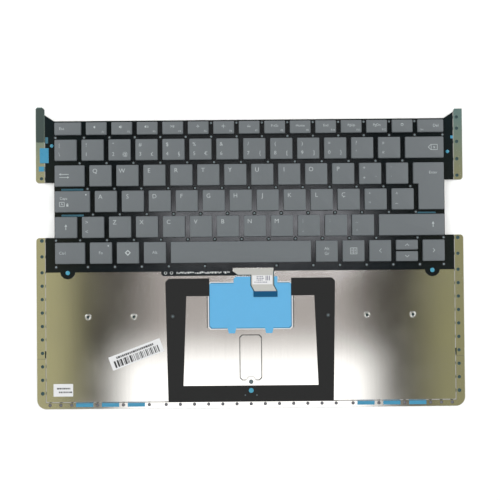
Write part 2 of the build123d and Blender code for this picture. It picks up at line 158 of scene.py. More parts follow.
TAB_WIDTH = 21.3 * MM
CAPS_WIDTH = 25.0 * MM
ESCAPE_WIDTH = 19.0 * MM
DELETE_WIDTH = 18.5 * MM
ARROW_WIDTH = 15.65 * MM
ARROW_GAP = 0.8 * MM
FUNCTION_KEYS = ["f1", "f2", "f3", "f4", "f5", "f6", "f7", "f8", "f9", "f10", "f11", "f12", "power"]
NUMBER_KEYS = ["corner", "1", "2", "3", "4", "5", "6", "7", "8", "9", "0", "quote", "guillemet"]
TAB_ROW_KEYS = ["q", "w", "e", "r", "t", "y", "u", "i", "o", "p", "plus", "accent"]
CAPS_ROW_KEYS = ["a", "s", "d", "f", "g", "h", "j", "k", "l", "cedilla", "ordinal", "tilde"]
SHIFT_ROW_KEYS = ["left_shift", "angle", "z", "x", "c", "v", "b", "n", "m", "comma", "period", "minus"]
FIXED_ROWS = {
    "function_row_keycaps": ["escape"] + FUNCTION_KEYS + ["delete"],
    "number_row_keycaps": NUMBER_KEYS,
    "bottom_row_keycaps": [
        "control", "function", "start", "alt", "alt_right", "menu", "left", "down", "up", "right",
    ],
}


def lay_row(keys, node):
    """Boxes of a row's caps from left to right; the key without a width takes what is left."""
    low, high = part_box(node)
    gap = sizes().key_gap
    taken = sum(width for name, width in keys if width)
    spare = FIELD_RIGHT - FIELD_LEFT - taken - gap * (len(keys) - 1)
    boxes = {}
    x = FIELD_LEFT
    for name, width in keys:
        width = width or spare
        boxes[name] = (x, low.y, x + width, high.y)
        x += width + gap
    return boxes


def rows_of_keys():
    """All rows from the function row to the bottom row, each a dictionary of cap boxes."""
    cap = sizes().cap_width
    gap = sizes().key_gap
    count = len(FUNCTION_KEYS)
    share = (FIELD_RIGHT - FIELD_LEFT - ESCAPE_WIDTH - DELETE_WIDTH - gap * (count + 1)) / count
    function = [("escape", ESCAPE_WIDTH)] + [(name, share) for name in FUNCTION_KEYS]
    number = [(name, cap) for name in NUMBER_KEYS] + [("backspace", None)]
    tab = [("tab", TAB_WIDTH)] + [(name, cap) for name in TAB_ROW_KEYS] + [("enter", None)]
    caps = [("caps", CAPS_WIDTH)] + [(name, cap) for name in CAPS_ROW_KEYS] + [("enter_foot", None)]
    shift = [(name, cap) for name in SHIFT_ROW_KEYS] + [("right_shift", None)]
    bottom = [("control", TAB_WIDTH), ("function", cap), ("start", cap), ("alt", cap), ("space", None)]
    bottom += [(name, ARROW_WIDTH) for name in ("alt_right", "menu", "left", "up_down", "right")]
    return [
        lay_row(function + [("delete", DELETE_WIDTH)], "function_row_keycaps"),
        lay_row(number, "key_backspace"),
        lay_row(tab, "key_tab"),
        lay_row(caps, "key_caps"),
        lay_row(shift, "key_right_shift"),
        lay_row(bottom, "key_space"),
    ]


def key_boxes():
    """One box per key; the enter key's box is its stem, and the arrow pair shares a place."""
    boxes = {}
    for row in rows_of_keys():
        boxes.update(row)
    x0, y0, x1, y1 = boxes.pop("up_down")
    half = (y1 - y0 - ARROW_GAP) / 2
    boxes["down"] = (x0, y0, x1, y0 + half)
    boxes["up"] = (x0, y1 - half, x1, y1)
    foot = boxes.pop("enter_foot")
    boxes["enter"] = (foot[0], foot[1], foot[2], boxes["enter"][3])
    return boxes


# Working tools: places and heights in metres, strips, bars, radii and print sizes in millimetres

# A face whose normal leans at least this far to an axis looks along it
FACING = 0.9
# An edge that rises less than this is level
LEVEL = 1e-7
# Softened edges of strips and rings, as shares of their height, and from which angle a ring has them
STRIP_EDGE, RING_EDGE, RING_EDGE_ANGLE = 0.4, 0.25, math.radians(50)
# Under these angles faces are shaded as one curve
SMOOTH_ANGLE, CAP_SMOOTH_ANGLE = math.radians(40), math.radians(35)
# Share of its size by which lettering is thinned
INK_THINNING = 0.008


def select_none():
    """Object mode with nothing selected, because the operators act on all that is selected."""
    if bpy.context.object and bpy.context.object.mode != "OBJECT":
        bpy.ops.object.mode_set(mode="OBJECT")
    bpy.ops.object.select_all(action="DESELECT")


def activate(piece):
    """Make a piece the active and only selected one."""
    select_none()
    piece.select_set(True)
    bpy.context.view_layer.objects.active = piece


def settle():
    """Write the active piece's place, turn and scale into its mesh."""
    bpy.ops.object.transform_apply(location=True, rotation=True, scale=True)


def place(piece, x, y, angle):
    """Turn a piece about the upright axis and move it, inside its mesh."""
    activate(piece)
    piece.rotation_euler = (0, 0, angle)
    piece.location = (x, y, 0)
    settle()
    return piece


def pick(piece, kind, test):
    """In edit mode, select the vertices, edges or faces that pass a test."""
    bpy.ops.mesh.select_mode(type=kind)
    bpy.ops.mesh.select_all(action="DESELECT")
    mesh = bmesh.from_edit_mesh(piece.data)
    for item in {"VERT": mesh.verts, "EDGE": mesh.edges, "FACE": mesh.faces}[kind]:
        if test(item):
            item.select_set(True)
    mesh.select_flush_mode()
    bmesh.update_edit_mesh(piece.data)


def soften_top(piece, offset, segments):
    """In edit mode, round the rim of a piece's upper face."""
    pick(piece, "FACE", lambda f: f.normal.z > FACING)
    bpy.ops.mesh.region_to_loop()
    bpy.ops.mesh.bevel(offset=offset, segments=segments, affect="EDGES")


def new_box(low, high):
    """A box between two corners, in object mode, with its place in its mesh."""
    select_none()
    low, high = Vector(low), Vector(high)
    bpy.ops.mesh.primitive_cube_add(size=1, location=(low + high) / 2)
    piece = bpy.context.object
    piece.scale = high - low
    settle()
    return piece


def new_tube(x, y, low, high, radius, sides, ends="NGON"):
    """An upright cylinder, in object mode, with its place in its mesh."""
    select_none()
    bpy.ops.mesh.primitive_cylinder_add(
        vertices=sides, radius=radius, depth=high - low, end_fill_type=ends,
        location=(x, y, (low + high) / 2),
    )
    settle()
    return bpy.context.object


def flat_strip(box, low, high, corner=0.0, rounding=3):
    """A thin strip with rounded corners and a softened upper edge."""
    x0, y0, x1, y1 = [v * MM for v in box]
    piece = new_box((x0, y0, low), (x1, y1, high))
    bpy.ops.object.mode_set(mode="EDIT")
    if corner:
        pick(piece, "EDGE", lambda e: abs(e.verts[0].co.z - e.verts[1].co.z) > LEVEL)
        bpy.ops.mesh.bevel(offset=corner * MM, segments=rounding, affect="EDGES")
    soften_top(piece, (high - low) * STRIP_EDGE, 1)
    bpy.ops.object.mode_set(mode="OBJECT")
    return piece


def flat_strips(boxes, low, high, corner=0.0):
    return [flat_strip(box, low, high, corner) for box in boxes]


def ribbon(points, width, low, high):
    """Strips that run through points as one thin line."""
    strips = []
    for start, end in zip(points, points[1:]):
        run = Vector(end) - Vector(start)
        reach = run.length / 2 + width / 2
        strip = flat_strip((-reach, -width / 2, reach, width / 2), low, high)
        x, y = (Vector(start) + Vector(end)) / 2 * MM
        strips.append(place(strip, x, y, math.atan2(run.y, run.x)))
    return strips


def flat_disc(x, y, low, high, radius, edge=0.35, sides=20):
    """A round head or dot with a rounded upper edge; edge is a share of its height."""
    piece = new_tube(x, y, low, high, radius * MM, sides)
    bpy.ops.object.mode_set(mode="EDIT")
    soften_top(piece, (high - low) * edge, 2)
    bpy.ops.object.mode_set(mode="OBJECT")
    bpy.ops.object.shade_smooth_by_angle(angle=SMOOTH_ANGLE)
    return piece


def ring(x, y, low, high, outer, inner, sides):
    """A flat ring: a tube wall that is given its thickness and softened edges."""
    piece = new_tube(x, y, low, high, outer * MM, sides, "NOTHING")
    wall = piece.modifiers.new("wall", "SOLIDIFY")
    wall.thickness = (outer - inner) * MM
    wall.offset = -1
    bpy.ops.object.modifier_apply(modifier=wall.name)
    edge = piece.modifiers.new("edge", "BEVEL")
    edge.width = (high - low) * RING_EDGE
    edge.segments = 2
    edge.limit_method = "ANGLE"
    edge.angle_limit = RING_EDGE_ANGLE
    bpy.ops.object.modifier_apply(modifier=edge.name)
    bpy.ops.object.shade_smooth_by_angle(angle=SMOOTH_ANGLE)
    return piece


def copy_of(model, name, move):
    """A copy with its own mesh, moved inside that mesh."""
    piece = model.copy()
    piece.data = model.data.copy()
    piece.name = name
    bpy.context.scene.collection.objects.link(piece)
    piece.data.transform(Matrix.Translation(move))
    return piece


def join(name, pieces):
    """Make one piece of several; the first one's material slots come first."""
    select_none()
    for piece in pieces:
        piece.select_set(True)
    bpy.context.view_layer.objects.active = pieces[0]
    if len(pieces) > 1:
        bpy.ops.object.join()
    pieces[0].name = name
    return pieces[0]


def remove(pieces):
    for piece in pieces:
        bpy.data.objects.remove(piece)


def dress(piece, material):
    piece.data.materials.clear()
    piece.data.materials.append(material)
    return piece


def dress_node(node, look):
    """Give a CAD node that stays in view its finish."""
    dress(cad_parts[node], finish(look))


def put_on_base(name, pieces, look=None):
    """Join pieces under a name, dress them unless they are dressed already, and fix them to the base."""
    piece = join(name, pieces)
    if look:
        dress(piece, finish(look))
    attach(piece, "base")
    return piece


def text_mesh(x, y, low, high, body, size):
    """A thin slab of lettering, centred on a point."""
    select_none()
    bpy.ops.object.text_add()
    text = bpy.context.object.data
    text.body = body
    text.size = size * MM
    text.align_x = "CENTER"
    text.align_y = "CENTER"
    text.extrude = (high - low) / 2
    text.offset = -size * MM * INK_THINNING
    text.resolution_u = 3
    bpy.ops.object.convert(target="MESH")
    piece = bpy.context.object
    piece.location = (x, y, (low + high) / 2)
    settle()
    return piece


def bars(x, y, low, high, boxes):
    """Plain printed bars round a point, each a thin box."""
    made = []
    for x0, y0, x1, y1 in boxes:
        made.append(new_box((x + x0 * MM, y + y0 * MM, low), (x + x1 * MM, y + y1 * MM, high)))
    return join("bars", made)


# Materials

# Size of the soft patches of tone on moulded and coated surfaces, in millimetres
PATCH = 9
# Width and length of the steel's brush lines and size of its oil bloom, in millimetres
BRUSH_LINE, BRUSH_RUN, BLOOM = 0.35, 40, 45
# The steel's darkest and lightest tone, how far its gloss varies, and its relief in depth and strength
STEEL_TONES, STEEL_SPREAD, STEEL_RELIEF, STEEL_STRENGTH = (0.92, 1.04), 0.02, 0.002, 0.08
# Range that a noise pattern mostly keeps to, and the fine grain's share in tone and gloss
NOISE_LOW, NOISE_HIGH, FINE_SHARE = 0.3, 0.7, 0.45


def add_node(tree, kind, settings=None, inputs=None):
    """Add a node, set it up and feed its inputs with values or with other nodes' outputs."""
    node = tree.nodes.new(kind)
    for name, value in (settings or {}).items():
        setattr(node, name, value)
    for name, value in (inputs or {}).items():
        if isinstance(value, bpy.types.NodeSocket):
            tree.links.new(value, node.inputs[name])
        else:
            node.inputs[name].default_value = value
    return node


def new_material(name):
    """An empty material with its node tree, shader and object coordinates."""
    material = bpy.data.materials.new(name)
    material.use_nodes = True
    tree = material.node_tree
    tree.nodes.clear()
    shader = add_node(tree, "ShaderNodeBsdfPrincipled")
    add_node(tree, "ShaderNodeOutputMaterial", None, {"Surface": shader.outputs["BSDF"]})
    coordinates = add_node(tree, "ShaderNodeTexCoord").outputs["Object"]
    return material, tree, shader, coordinates


def shade_of(colour, factor):
    return (colour[0] * factor, colour[1] * factor, colour[2] * factor, 1.0)


def feed_shader(tree, shader, shades, tone, gloss, rough, height, depth, strength):
    """Feed a shader from patterns: tone picks between two shades, gloss between two roughness values, and
    height is the relief, depth millimetres deep."""
    mixed = add_node(
        tree, "ShaderNodeMix", {"data_type": "RGBA"}, {0: tone, 6: shades[0], 7: shades[1]}
    )
    spread = add_node(
        tree, "ShaderNodeMapRange", None,
        {"Value": gloss, "From Min": NOISE_LOW, "From Max": NOISE_HIGH,
         "To Min": rough[0], "To Max": rough[1]},
    )
    bump = add_node(
        tree, "ShaderNodeBump", None, {"Height": height, "Distance": depth * MM, "Strength": strength}
    )
    tree.links.new(mixed.outputs[2], shader.inputs["Base Color"])
    tree.links.new(spread.outputs["Result"], shader.inputs["Roughness"])
    tree.links.new(bump.outputs["Normal"], shader.inputs["Normal"])


def grained(name, colour, grain, depth, roughness, spread, contrast=0.12, shine=0.5):
    """A moulded or coated surface: grain in millimetres for the bump, broad soft patches for tone and
    gloss. spread is how far the gloss varies and shine how strongly it mirrors."""
    material, tree, shader, where = new_material(name)
    fine, broad = [
        add_node(
            tree, "ShaderNodeTexNoise", None, {"Vector": where, "Scale": 1 / (size * MM), "Detail": detail}
        ).outputs["Fac"]
        for size, detail in ((grain, 3.0), (PATCH, 4.0))
    ]
    mix = {0: FINE_SHARE, 2: broad, 3: fine}
    mixed = add_node(tree, "ShaderNodeMix", {"data_type": "FLOAT"}, mix).outputs[0]
    shades = (shade_of(colour, 1 - contrast), shade_of(colour, 1 + contrast))
    rough = (roughness - spread, roughness + spread)
    feed_shader(tree, shader, shades, mixed, mixed, rough, fine, depth, 1.0)
    shader.inputs["Specular IOR Level"].default_value = shine
    return material


def brushed_steel(name, colour, roughness):
    """Cold-rolled steel sheet, brushed along Y: fine long lines that break up the reflections, with a
    faint oil bloom. Such lines are finer on a real sheet and are drawn wider so that they show."""
    material, tree, shader, where = new_material(name)
    scale = (1 / (BRUSH_LINE * MM), 1 / (BRUSH_RUN * MM), 1 / (BRUSH_LINE * MM))
    stretched = add_node(tree, "ShaderNodeMapping", None, {"Vector": where, "Scale": scale}).outputs[0]
    lines, bloom = [
        add_node(
            tree, "ShaderNodeTexNoise", None, {"Vector": vector, "Scale": size, "Detail": detail}
        ).outputs["Fac"]
        for vector, size, detail in ((stretched, 1.0, 4.0), (where, 1 / (BLOOM * MM), 3.0))
    ]
    shades = [shade_of(colour, tone) for tone in STEEL_TONES]
    rough = (roughness - STEEL_SPREAD, roughness + STEEL_SPREAD)
    feed_shader(tree, shader, shades, lines, bloom, rough, lines, STEEL_RELIEF, STEEL_STRENGTH)
    shader.inputs["Metallic"].default_value = 1.0
    return material


# Finishes by name: a colour of the sidebar or an sRGB value, then grained's other values in their order
FINISHES = {
    # ABS caps with a spark-eroded matt texture: an even soft grey with a hint of gloss on edges
    "keycap_abs": ("keycap", 0.25, 0.012, 0.5, 0.05, 0.05, 0.4),
    # Laser-cleared legend: flat, pale and a little uneven
    "legend_paint": ("legend", 0.3, 0.002, 0.55, 0.05, 0.08),
    # PET film, printed black on its underside: deep blue-black that mirrors the room softly
    "black_pet_film": ("deck", 0.5, 0.001, 0.11, 0.03, 0.25, 0.35),
    # Polyester tape, matt black: even and dull
    "cover_tape": ("deck", 0.5, 0.006, 0.42, 0.08, 0.25, 0.2),
    # Closed-cell foam tape: dull black with tiny cells
    "foam_tape": ("foam", 0.6, 0.03, 0.85, 0.05, 0.2, 0.25),
    # Polyester insulating film: light blue, half gloss, slightly wavy
    "blue_pet_film": ("film", 2.5, 0.01, 0.35, 0.06, 0.05, 0.3),
    # Siliconed release liner: saturated blue, smooth
    "release_liner": ("liner", 1.5, 0.008, 0.3, 0.06, 0.12, 0.3),
    # Glass-fibre stiffener, dyed blue: dark and satin
    "stiffener_board": ("stiffener", 0.4, 0.006, 0.4, 0.06, 0.12, 0.15),
    # Painted shade, dull blue-green: the dark sheet seen through the flange holes, slots and nut bores, on
    # the hole rims and along the tail's sides
    "backing_tape": ("tape", 0.8, 0.01, 0.6, 0.06, 0.2),
    # Painted shade, violet-grey: the sheet under the front holes
    "grey_tape": ("#77777F", 0.8, 0.01, 0.6, 0.06, 0.2),
    # Coated label paper: white with a faint tooth
    "label_paper": ("paper", 0.2, 0.004, 0.7, 0.05, 0.03),
    # Thermal print: soft black, uneven at its edges
    "label_ink": ("#2A2A2C", 0.3, 0.002, 0.7, 0.05, 0.25),
    # Worn thermal print on the tail's label: grey-violet
    "faded_ink": ("#66667A", 0.3, 0.002, 0.7, 0.05, 0.25),
    # Blue film seen in the gap beside a key: dull teal
    "teal_film": ("#376778", 0.6, 0.004, 0.45, 0.06, 0.25, 0.3),
    # White screen print on black film: pale, a little patchy
    "white_print": ("#C9CBCB", 0.3, 0.002, 0.6, 0.05, 0.15),
    # Shielded flex circuit: pale silver-grey film
    "flex_shield": ("#B6B5B0", 0.7, 0.006, 0.4, 0.08, 0.06, 0.3),
    # Silicone dome: milky and soft
    "silicone": ("#C9CCC8", 0.5, 0.004, 0.45, 0.06, 0.05),
    # Acetal scissor arms: waxy white plastic
    "acetal": ("#D8D8D2", 0.4, 0.004, 0.4, 0.06, 0.05),
    # Tinned rivet heads: dull pale grey
    "rivet_tin": ("#78858A", 0.3, 0.004, 0.4, 0.08, 0.2),
    # Black oxide on screw heads, and painted shade in the lanced cuts: soft near-black
    "black_oxide": ("#22282A", 0.3, 0.004, 0.4, 0.08, 0.25),
    # Painted shade at the foot of a bend, in the cut round the tongue and round the front holes: dark grey
    "bend_shadow": ("#4C4B46", 0.5, 0.002, 0.6, 0.05, 0.3),
    # Zinc-plated screws, recesses and pins: dull blue-grey
    "dull_zinc": ("#5A666A", 0.3, 0.004, 0.5, 0.08, 0.2, 0.3),
    # Painted shade round the blue film: a deeper blue line
    "film_edge": ("#316E90", 0.8, 0.004, 0.4, 0.05, 0.15, 0.3),
    # Cloth tape on the ear: grey-green with a coarse weave
    "ear_cloth": ("#3B4743", 0.9, 0.02, 0.7, 0.06, 0.2, 0.3),
    # Lacquer dots on small screws: bright teal
    "teal_lacquer": ("#3E93AE", 0.5, 0.004, 0.3, 0.05, 0.15),
    # Reflector film under the keys' light guide, black outside
    "reflector_film": ("#26282A", 1.2, 0.01, 0.5, 0.08, 0.2),
    # White table under the part: even and matt
    "white_table": ("#FBFBFA", 3.0, 0.0, 0.7, 0.05, 0.01),
}
# Bare and plated steels: colour and roughness
STEELS = {
    # Bare brushed steel: carries the room's reflections with a fine vertical grain
    "brushed_steel": ("steel", 0.08),
    # Nickel-plated nuts: bright and smooth, with faint wear
    "nickel_plate": ("#BDBDBA", 0.24),
    # Drawn spring wire: satin grey
    "spring_wire": ("#B8B8B6", 0.3),
}
# Finishes are made once and shared, so they are kept by name
finishes = {}


def finish(name):
    """The finish of that name, made on its first use."""
    if name not in finishes:
        make, table = (brushed_steel, STEELS) if name in STEELS else (grained, FINISHES)
        colour, *surface = table[name]
        shade = hex_colour(colour) if colour.startswith("#") else getattr(colours(), colour)
        finishes[name] = make(name, shade, *surface)
    return finishes[name]


# Keycaps

# A face whose normal rises less than this is a side wall, and an edge bent by more radians a corner
WALL_RISE, CORNER_BEND = 0.5, 0.5


def faces_towards(vertex, direction):
    """Whether a side wall beside a vertex looks in a direction."""
    faces = vertex.link_faces
    return any(f.normal.dot(direction) > FACING and abs(f.normal.z) < WALL_RISE for f in faces)


def model_cap(width, depth, head=None):
    """A hollow keycap with its rim at height 0 and its middle at the origin. head is the reach and the
    front line of an L-shaped key's wider part."""
    s = sizes()
    height = CAP_TOP - CAP_RIM - s.ink
    cap = new_box((-width / 2, -depth / 2, 0), (width / 2, depth / 2, height))
    bpy.ops.object.mode_set(mode="EDIT")
    if head:
        reach, line = head
        bpy.ops.mesh.select_all(action="SELECT")
        bpy.ops.mesh.bisect(plane_co=(0, line, 0), plane_no=(0, 1, 0))
        pick(cap, "FACE", lambda f: f.normal.x < -FACING and f.calc_center_median().y > line)
        bpy.ops.mesh.extrude_region_move(TRANSFORM_OT_translate={"value": (-reach, 0, 0)})
        pick(cap, "FACE", lambda f: abs(f.normal.z) > FACING)
        bpy.ops.mesh.dissolve_faces()
    for direction in (Vector((1, 0, 0)), Vector((-1, 0, 0)), Vector((0, 1, 0)), Vector((0, -1, 0))):
        pick(cap, "VERT", lambda v: v.co.z > height / 2 and faces_towards(v, direction))
        bpy.ops.transform.translate(value=direction * -s.cap_inset)
    pick(
        cap, "EDGE",
        lambda e: abs(e.verts[0].co.z - e.verts[1].co.z) > height / 2
        and e.calc_face_angle(0) > CORNER_BEND,
    )
    bpy.ops.mesh.bevel(offset=s.cap_corner, segments=4, affect="EDGES")
    soften_top(cap, s.cap_edge, 3)
    pick(cap, "FACE", lambda f: f.normal.z < -FACING)
    bpy.ops.mesh.inset(thickness=s.cap_wall)
    bpy.ops.mesh.extrude_region_move(TRANSFORM_OT_translate={"value": (0, 0, height - s.cap_skin)})
    bpy.ops.object.mode_set(mode="OBJECT")
    bpy.ops.object.shade_smooth_by_angle(angle=CAP_SMOOTH_ANGLE)
    return cap


# An arrow's head, half stem and tip, and a chevron's half stroke and its offset, as shares of their size
ARROW_HEAD, ARROW_STEM, ARROW_TIP, STROKE_SHARE, STROKE_OFFSET = 0.2, 0.06, 0.3, 0.38, 0.25
# Half the width of a chevron's stroke, in millimetres
STROKE_HALF = 0.15


def arrow_print(x, y, low, high, size, turn, stretch=1.0):
    """A printed arrow: a stem and a head, turned by quarter turns; 0 points up. stretch lengthens it."""
    size *= MM
    reach = size * 0.5 * stretch
    neck = reach - size * ARROW_HEAD
    stem = new_box((-size * ARROW_STEM, -reach, low), (size * ARROW_STEM, neck, high))
    tip = new_tube(0, neck, low, high, size * ARROW_TIP, 3)
    return place(join("arrow", [stem, tip]), x, y, turn * math.pi / 2)


def chevron_print(x, y, low, high, size, turn):
    """A printed open arrow head of two strokes, turned by quarter turns; 0 points up."""
    half, line = size * STROKE_SHARE * MM, STROKE_HALF * MM
    strokes = []
    for side in (-1, 1):
        stroke = new_box((-half, -line, low), (half, line, high))
        strokes.append(place(stroke, side * size * STROKE_OFFSET * MM, 0, -side * math.pi / 4))
    return place(join("chevron", strokes), x, y, turn * math.pi / 2)


def outline(width, height, line):
    """Bars of a rectangle drawn in outline."""
    x, y = width / 2, height / 2
    return [(-x, -y, x, line - y), (-x, y - line, x, y), (-x, -y, line - x, y), (x - line, -y, x, y)]


def rays(reach):
    """Bars of four short rays round a lamp sign."""
    near, half = 0.8, 0.125
    across = [(-reach, -half, -near, half), (near, -half, reach, half)]
    return across + [(y0, x0, y1, x1) for x0, y0, x1, y1 in across]


# Print on the keys. A place is a share of the cap's width with an offset, then the same for its depth.

# Upper, lower and third sign of the keys with several
PAIRS = {
    "corner": ("|", "\\"), "1": ("!", "1"), "2": ('"', "2", "@"), "3": ("#", "3", "£"),
    "4": ("$", "4", "§"), "5": ("%", "5", "€"), "6": ("&", "6"), "7": ("/", "7", "{"),
    "8": ("(", "8", "["), "9": (")", "9", "]"), "0": ("=", "0", "}"), "quote": ("?", "'"),
    "guillemet": ("»", "«"), "plus": ("*", "+", "¨"), "accent": ("`", "´"),
    "ordinal": ("ª", "º"), "tilde": ("^", "~"), "angle": (">", "<"), "comma": (";", ","),
    "period": (":", "."), "minus": ("_", "-"),
}
PAIR_PLACES = [(0, 3.6, 1, -4.2), (0, 3.6, 0, 4.4), (1, -4.0, 0, 4.4)]
PAIR_SHARE = 0.86
LETTER_PLACE = (0, 4.2, 1, -4.4)
NUMBER_PLACE, NUMBER_SIZE = (1, -2.4, 0, 2.0), 1.9
MIDDLE = (0.5, 0, 0.5, 0)
SIGN = (0.5, -0.2, 0.5, 0.9)
TOP_WORD = (0.5, 0, 0.5, 0.8)
SIDE_WORD = (0, 5.4, 0.5, 0)
LOCK_SIGN = (0, 5.2, 0.5, -1.9)
ERASE_SIGN = (1, -6.8, 0.5, 0)
SPEAKER = [(-1.5, -0.5, -0.8, 0.5), (-0.8, -0.9, -0.4, 0.9)]
WAVES = [(0.2, -0.8, 0.45, 0.8), (0.85, -0.8, 1.1, 0.8)]
PAUSE = [(0.4, -0.85, 0.7, 0.85), (1.0, -0.85, 1.3, 0.85)]
KEY_LIGHT = [
    (-1.2, -0.8, 1.2, -0.5), (-0.125, 0, 0.125, 0.8), (-1.0, -0.1, -0.7, 0.3), (0.7, -0.1, 1.0, 0.3),
]
MENU_LINES = [(-0.15, -2.3, 0.15, 2.3)]
MENU_LINES += [(x, 1.1 * i, x + 1.1, 1.1 * i + 0.3) for x in (-1.7, 0.6) for i in (-1, 0, 1)]
MARKS = {
    "escape": [("text", SIDE_WORD, "Esc", 2.9)],
    "f1": [("bars", SIGN, SPEAKER)],
    "f2": [("bars", SIGN, SPEAKER + WAVES[:1])],
    "f3": [("bars", SIGN, SPEAKER + WAVES)],
    "f4": [("text", (0.5, -0.9, 0.5, 0.9), ">", 3.6), ("bars", SIGN, PAUSE)],
    "f5": [("ring", SIGN, 0.6, 0.35, 12), ("bars", SIGN, rays(1.2))],
    "f6": [("ring", SIGN, 0.6, 0.35, 12), ("bars", SIGN, rays(1.5))],
    "f7": [("bars", SIGN, KEY_LIGHT)],
    "f8": [("text", TOP_WORD, "PrtSc", 2.5)],
    "f9": [("text", TOP_WORD, "Home", 2.5)],
    "f10": [("text", TOP_WORD, "End", 2.5)],
    "f11": [("text", TOP_WORD, "PgUp", 2.5)],
    "f12": [("text", TOP_WORD, "PgDn", 2.5)],
    "power": [("ring", SIGN, 0.95, 0.7, 16), ("bars", SIGN, [(-0.125, 0, 0.125, 1.15)])],
    "delete": [("text", (1, -5.6, 0.5, 0), "Del", 2.9), ("text", (0, 3.2, 0, 2.0), "Ins", 1.8)],
    "backspace": [
        ("bars", ERASE_SIGN, outline(4.6, 4.0, 0.3)), ("text", (1, -6.8, 0.5, 0.1), "x", 3.4),
        ("chevron", (1, -10.0, 0.5, 0), 4.0, 1),
    ],
    "tab": [("arrow", (0, 6.9, 0.5, 1.1), 3.0, 1, 2.2), ("arrow", (0, 6.9, 0.5, -1.1), 3.0, 3, 2.2)],
    "enter": [("text", (1, -7.8, 1, -7.3), "Enter", 2.7)],
    "caps": [
        ("text", (0, 6.4, 0.5, 2.2), "Caps", 2.7), ("bars", LOCK_SIGN, outline(3.8, 3.4, 0.35)),
        ("text", LOCK_SIGN, "A", 2.6), ("bars", (0, 9.1, 0.5, -2.65), [(-0.7, -0.75, 0.7, 0.75)]),
        ("ring", (0, 9.1, 0.5, -1.8), 0.6, 0.35, 12), ("disc", (1, -2.8, 1, -2.8), 0.5, 0.2, 12),
    ],
    "left_shift": [("arrow", MIDDLE, 3.6, 0)],
    "right_shift": [("arrow", (1, -8.2, 0.5, 0), 3.6, 0)],
    "control": [("text", SIDE_WORD, "Ctrl", 2.9)],
    "function": [("text", MIDDLE, "Fn", 3.0), ("disc", (1, -2.6, 1, -2.6), 0.5, 0.2, 12)],
    "start": [("ring", MIDDLE, 2.1, 1.2, 4)],
    "alt": [("text", MIDDLE, "Alt", 3.0)],
    "alt_right": [("text", (0.5, 0, 0.5, 1.7), "Alt", 3.0), ("text", (0.5, 0, 0.5, -1.7), "Gr", 3.0)],
    "menu": [("bars", MIDDLE, outline(4.9, 4.6, 0.3)), ("bars", MIDDLE, MENU_LINES)],
    "up": [("chevron", MIDDLE, 2.6, 0)],
    "left": [("chevron", MIDDLE, 2.6, 1)],
    "down": [("chevron", MIDDLE, 2.6, 2)],
    "right": [("chevron", MIDDLE, 2.6, 3)],
}
MARK_TOOLS = {
    "text": text_mesh, "bars": bars, "ring": ring, "disc": flat_disc, "arrow": arrow_print,
    "chevron": chevron_print,
}


def marks_of(name):
    """All marks of one key: the tool, the place and what the tool needs."""
    letter = sizes().letter / MM
    if name == "cedilla":
        return [("text", LETTER_PLACE, "Ç", letter)]
    if len(name) == 1 and name.isalpha():
        return [("text", LETTER_PLACE, name.upper(), letter)]
    if name in PAIRS:
        return [("text", spot, sign, letter * PAIR_SHARE) for spot, sign in zip(PAIR_PLACES, PAIRS[name])]
    marks = list(MARKS.get(name, []))
    if name in FUNCTION_KEYS[:-1]:
        marks.append(("text", NUMBER_PLACE, f"F{FUNCTION_KEYS.index(name) + 1}", NUMBER_SIZE))
    return marks


def print_on(name, box):
    """All print of one key, as a list of thin meshes on its top."""
    x0, y0, x1, y1 = box
    low = CAP_TOP - 2 * sizes().ink
    made = []
    for kind, (across, right, along, up), *details in marks_of(name):
        x = x0 + (x1 - x0) * across + right * MM
        y = y0 + (y1 - y0) * along + up * MM
        made.append(MARK_TOOLS[kind](x, y, low, CAP_TOP, *details))
    return made


class KEYBOARD_OT_keycaps(bpy.types.Operator):
    """Model the keycaps with their print, one piece per moving key and one per fixed row"""

    bl_idname = "keyboard.keycaps"
    bl_label = "Keycaps"

    def execute(self, context):
        models = {}
        dressed = {}
        for name, box in key_boxes().items():
            x0, y0, x1, y1 = box
            head = None
            if name == "enter":
                head = (x0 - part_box("key_enter")[0].x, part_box("key_q")[0].y - (y0 + y1) / 2)
            size = (round(x1 - x0, 6), round(y1 - y0, 6), head)
            if size not in models:
                models[size] = model_cap(x1 - x0, y1 - y0, head)
            middle = ((x0 + x1) / 2, (y0 + y1) / 2, CAP_RIM)
            cap = dress(copy_of(models[size], f"cap_{name}", middle), finish("keycap_abs"))
            legends = [dress(legend, finish("legend_paint")) for legend in print_on(name, box)]
            dressed[name] = join(f"cap_{name}", [cap] + legends)
        remove(models.values())
        for node, names in FIXED_ROWS.items():
            row = join(f"{node}_dressed", [dressed.pop(name) for name in names])
            self.hand_over(row, "base", node)
        for name, cap in dressed.items():
            self.hand_over(cap, f"key_{name}", f"key_{name}")
        return {"FINISHED"}

    def hand_over(self, piece, body, node):
        """Let a dressed piece ride on a body in place of its CAD node."""
        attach(piece, body)
        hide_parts(node)


# Key mechanisms

# Rim and dish of a dome's crown, as shares of its width and height
CROWN_RIM, CROWN_DISH = 0.07, 0.12
DOME_SIDES = 16
# Room round the mechanism's pieces, in metres
TOP_ROOM, END_ROOM, PIVOT_ROOM = 0.1 * MM, 0.6 * MM, 0.3 * MM


def fold_with(piece):
    """Give a mechanism its own mesh."""
    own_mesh(piece)


def tilt_of(length, thickness, room):
    """Angle at which an arm just fills the room between the deck and the cap."""
    return math.asin(room / math.hypot(length, thickness)) - math.atan2(thickness, length)


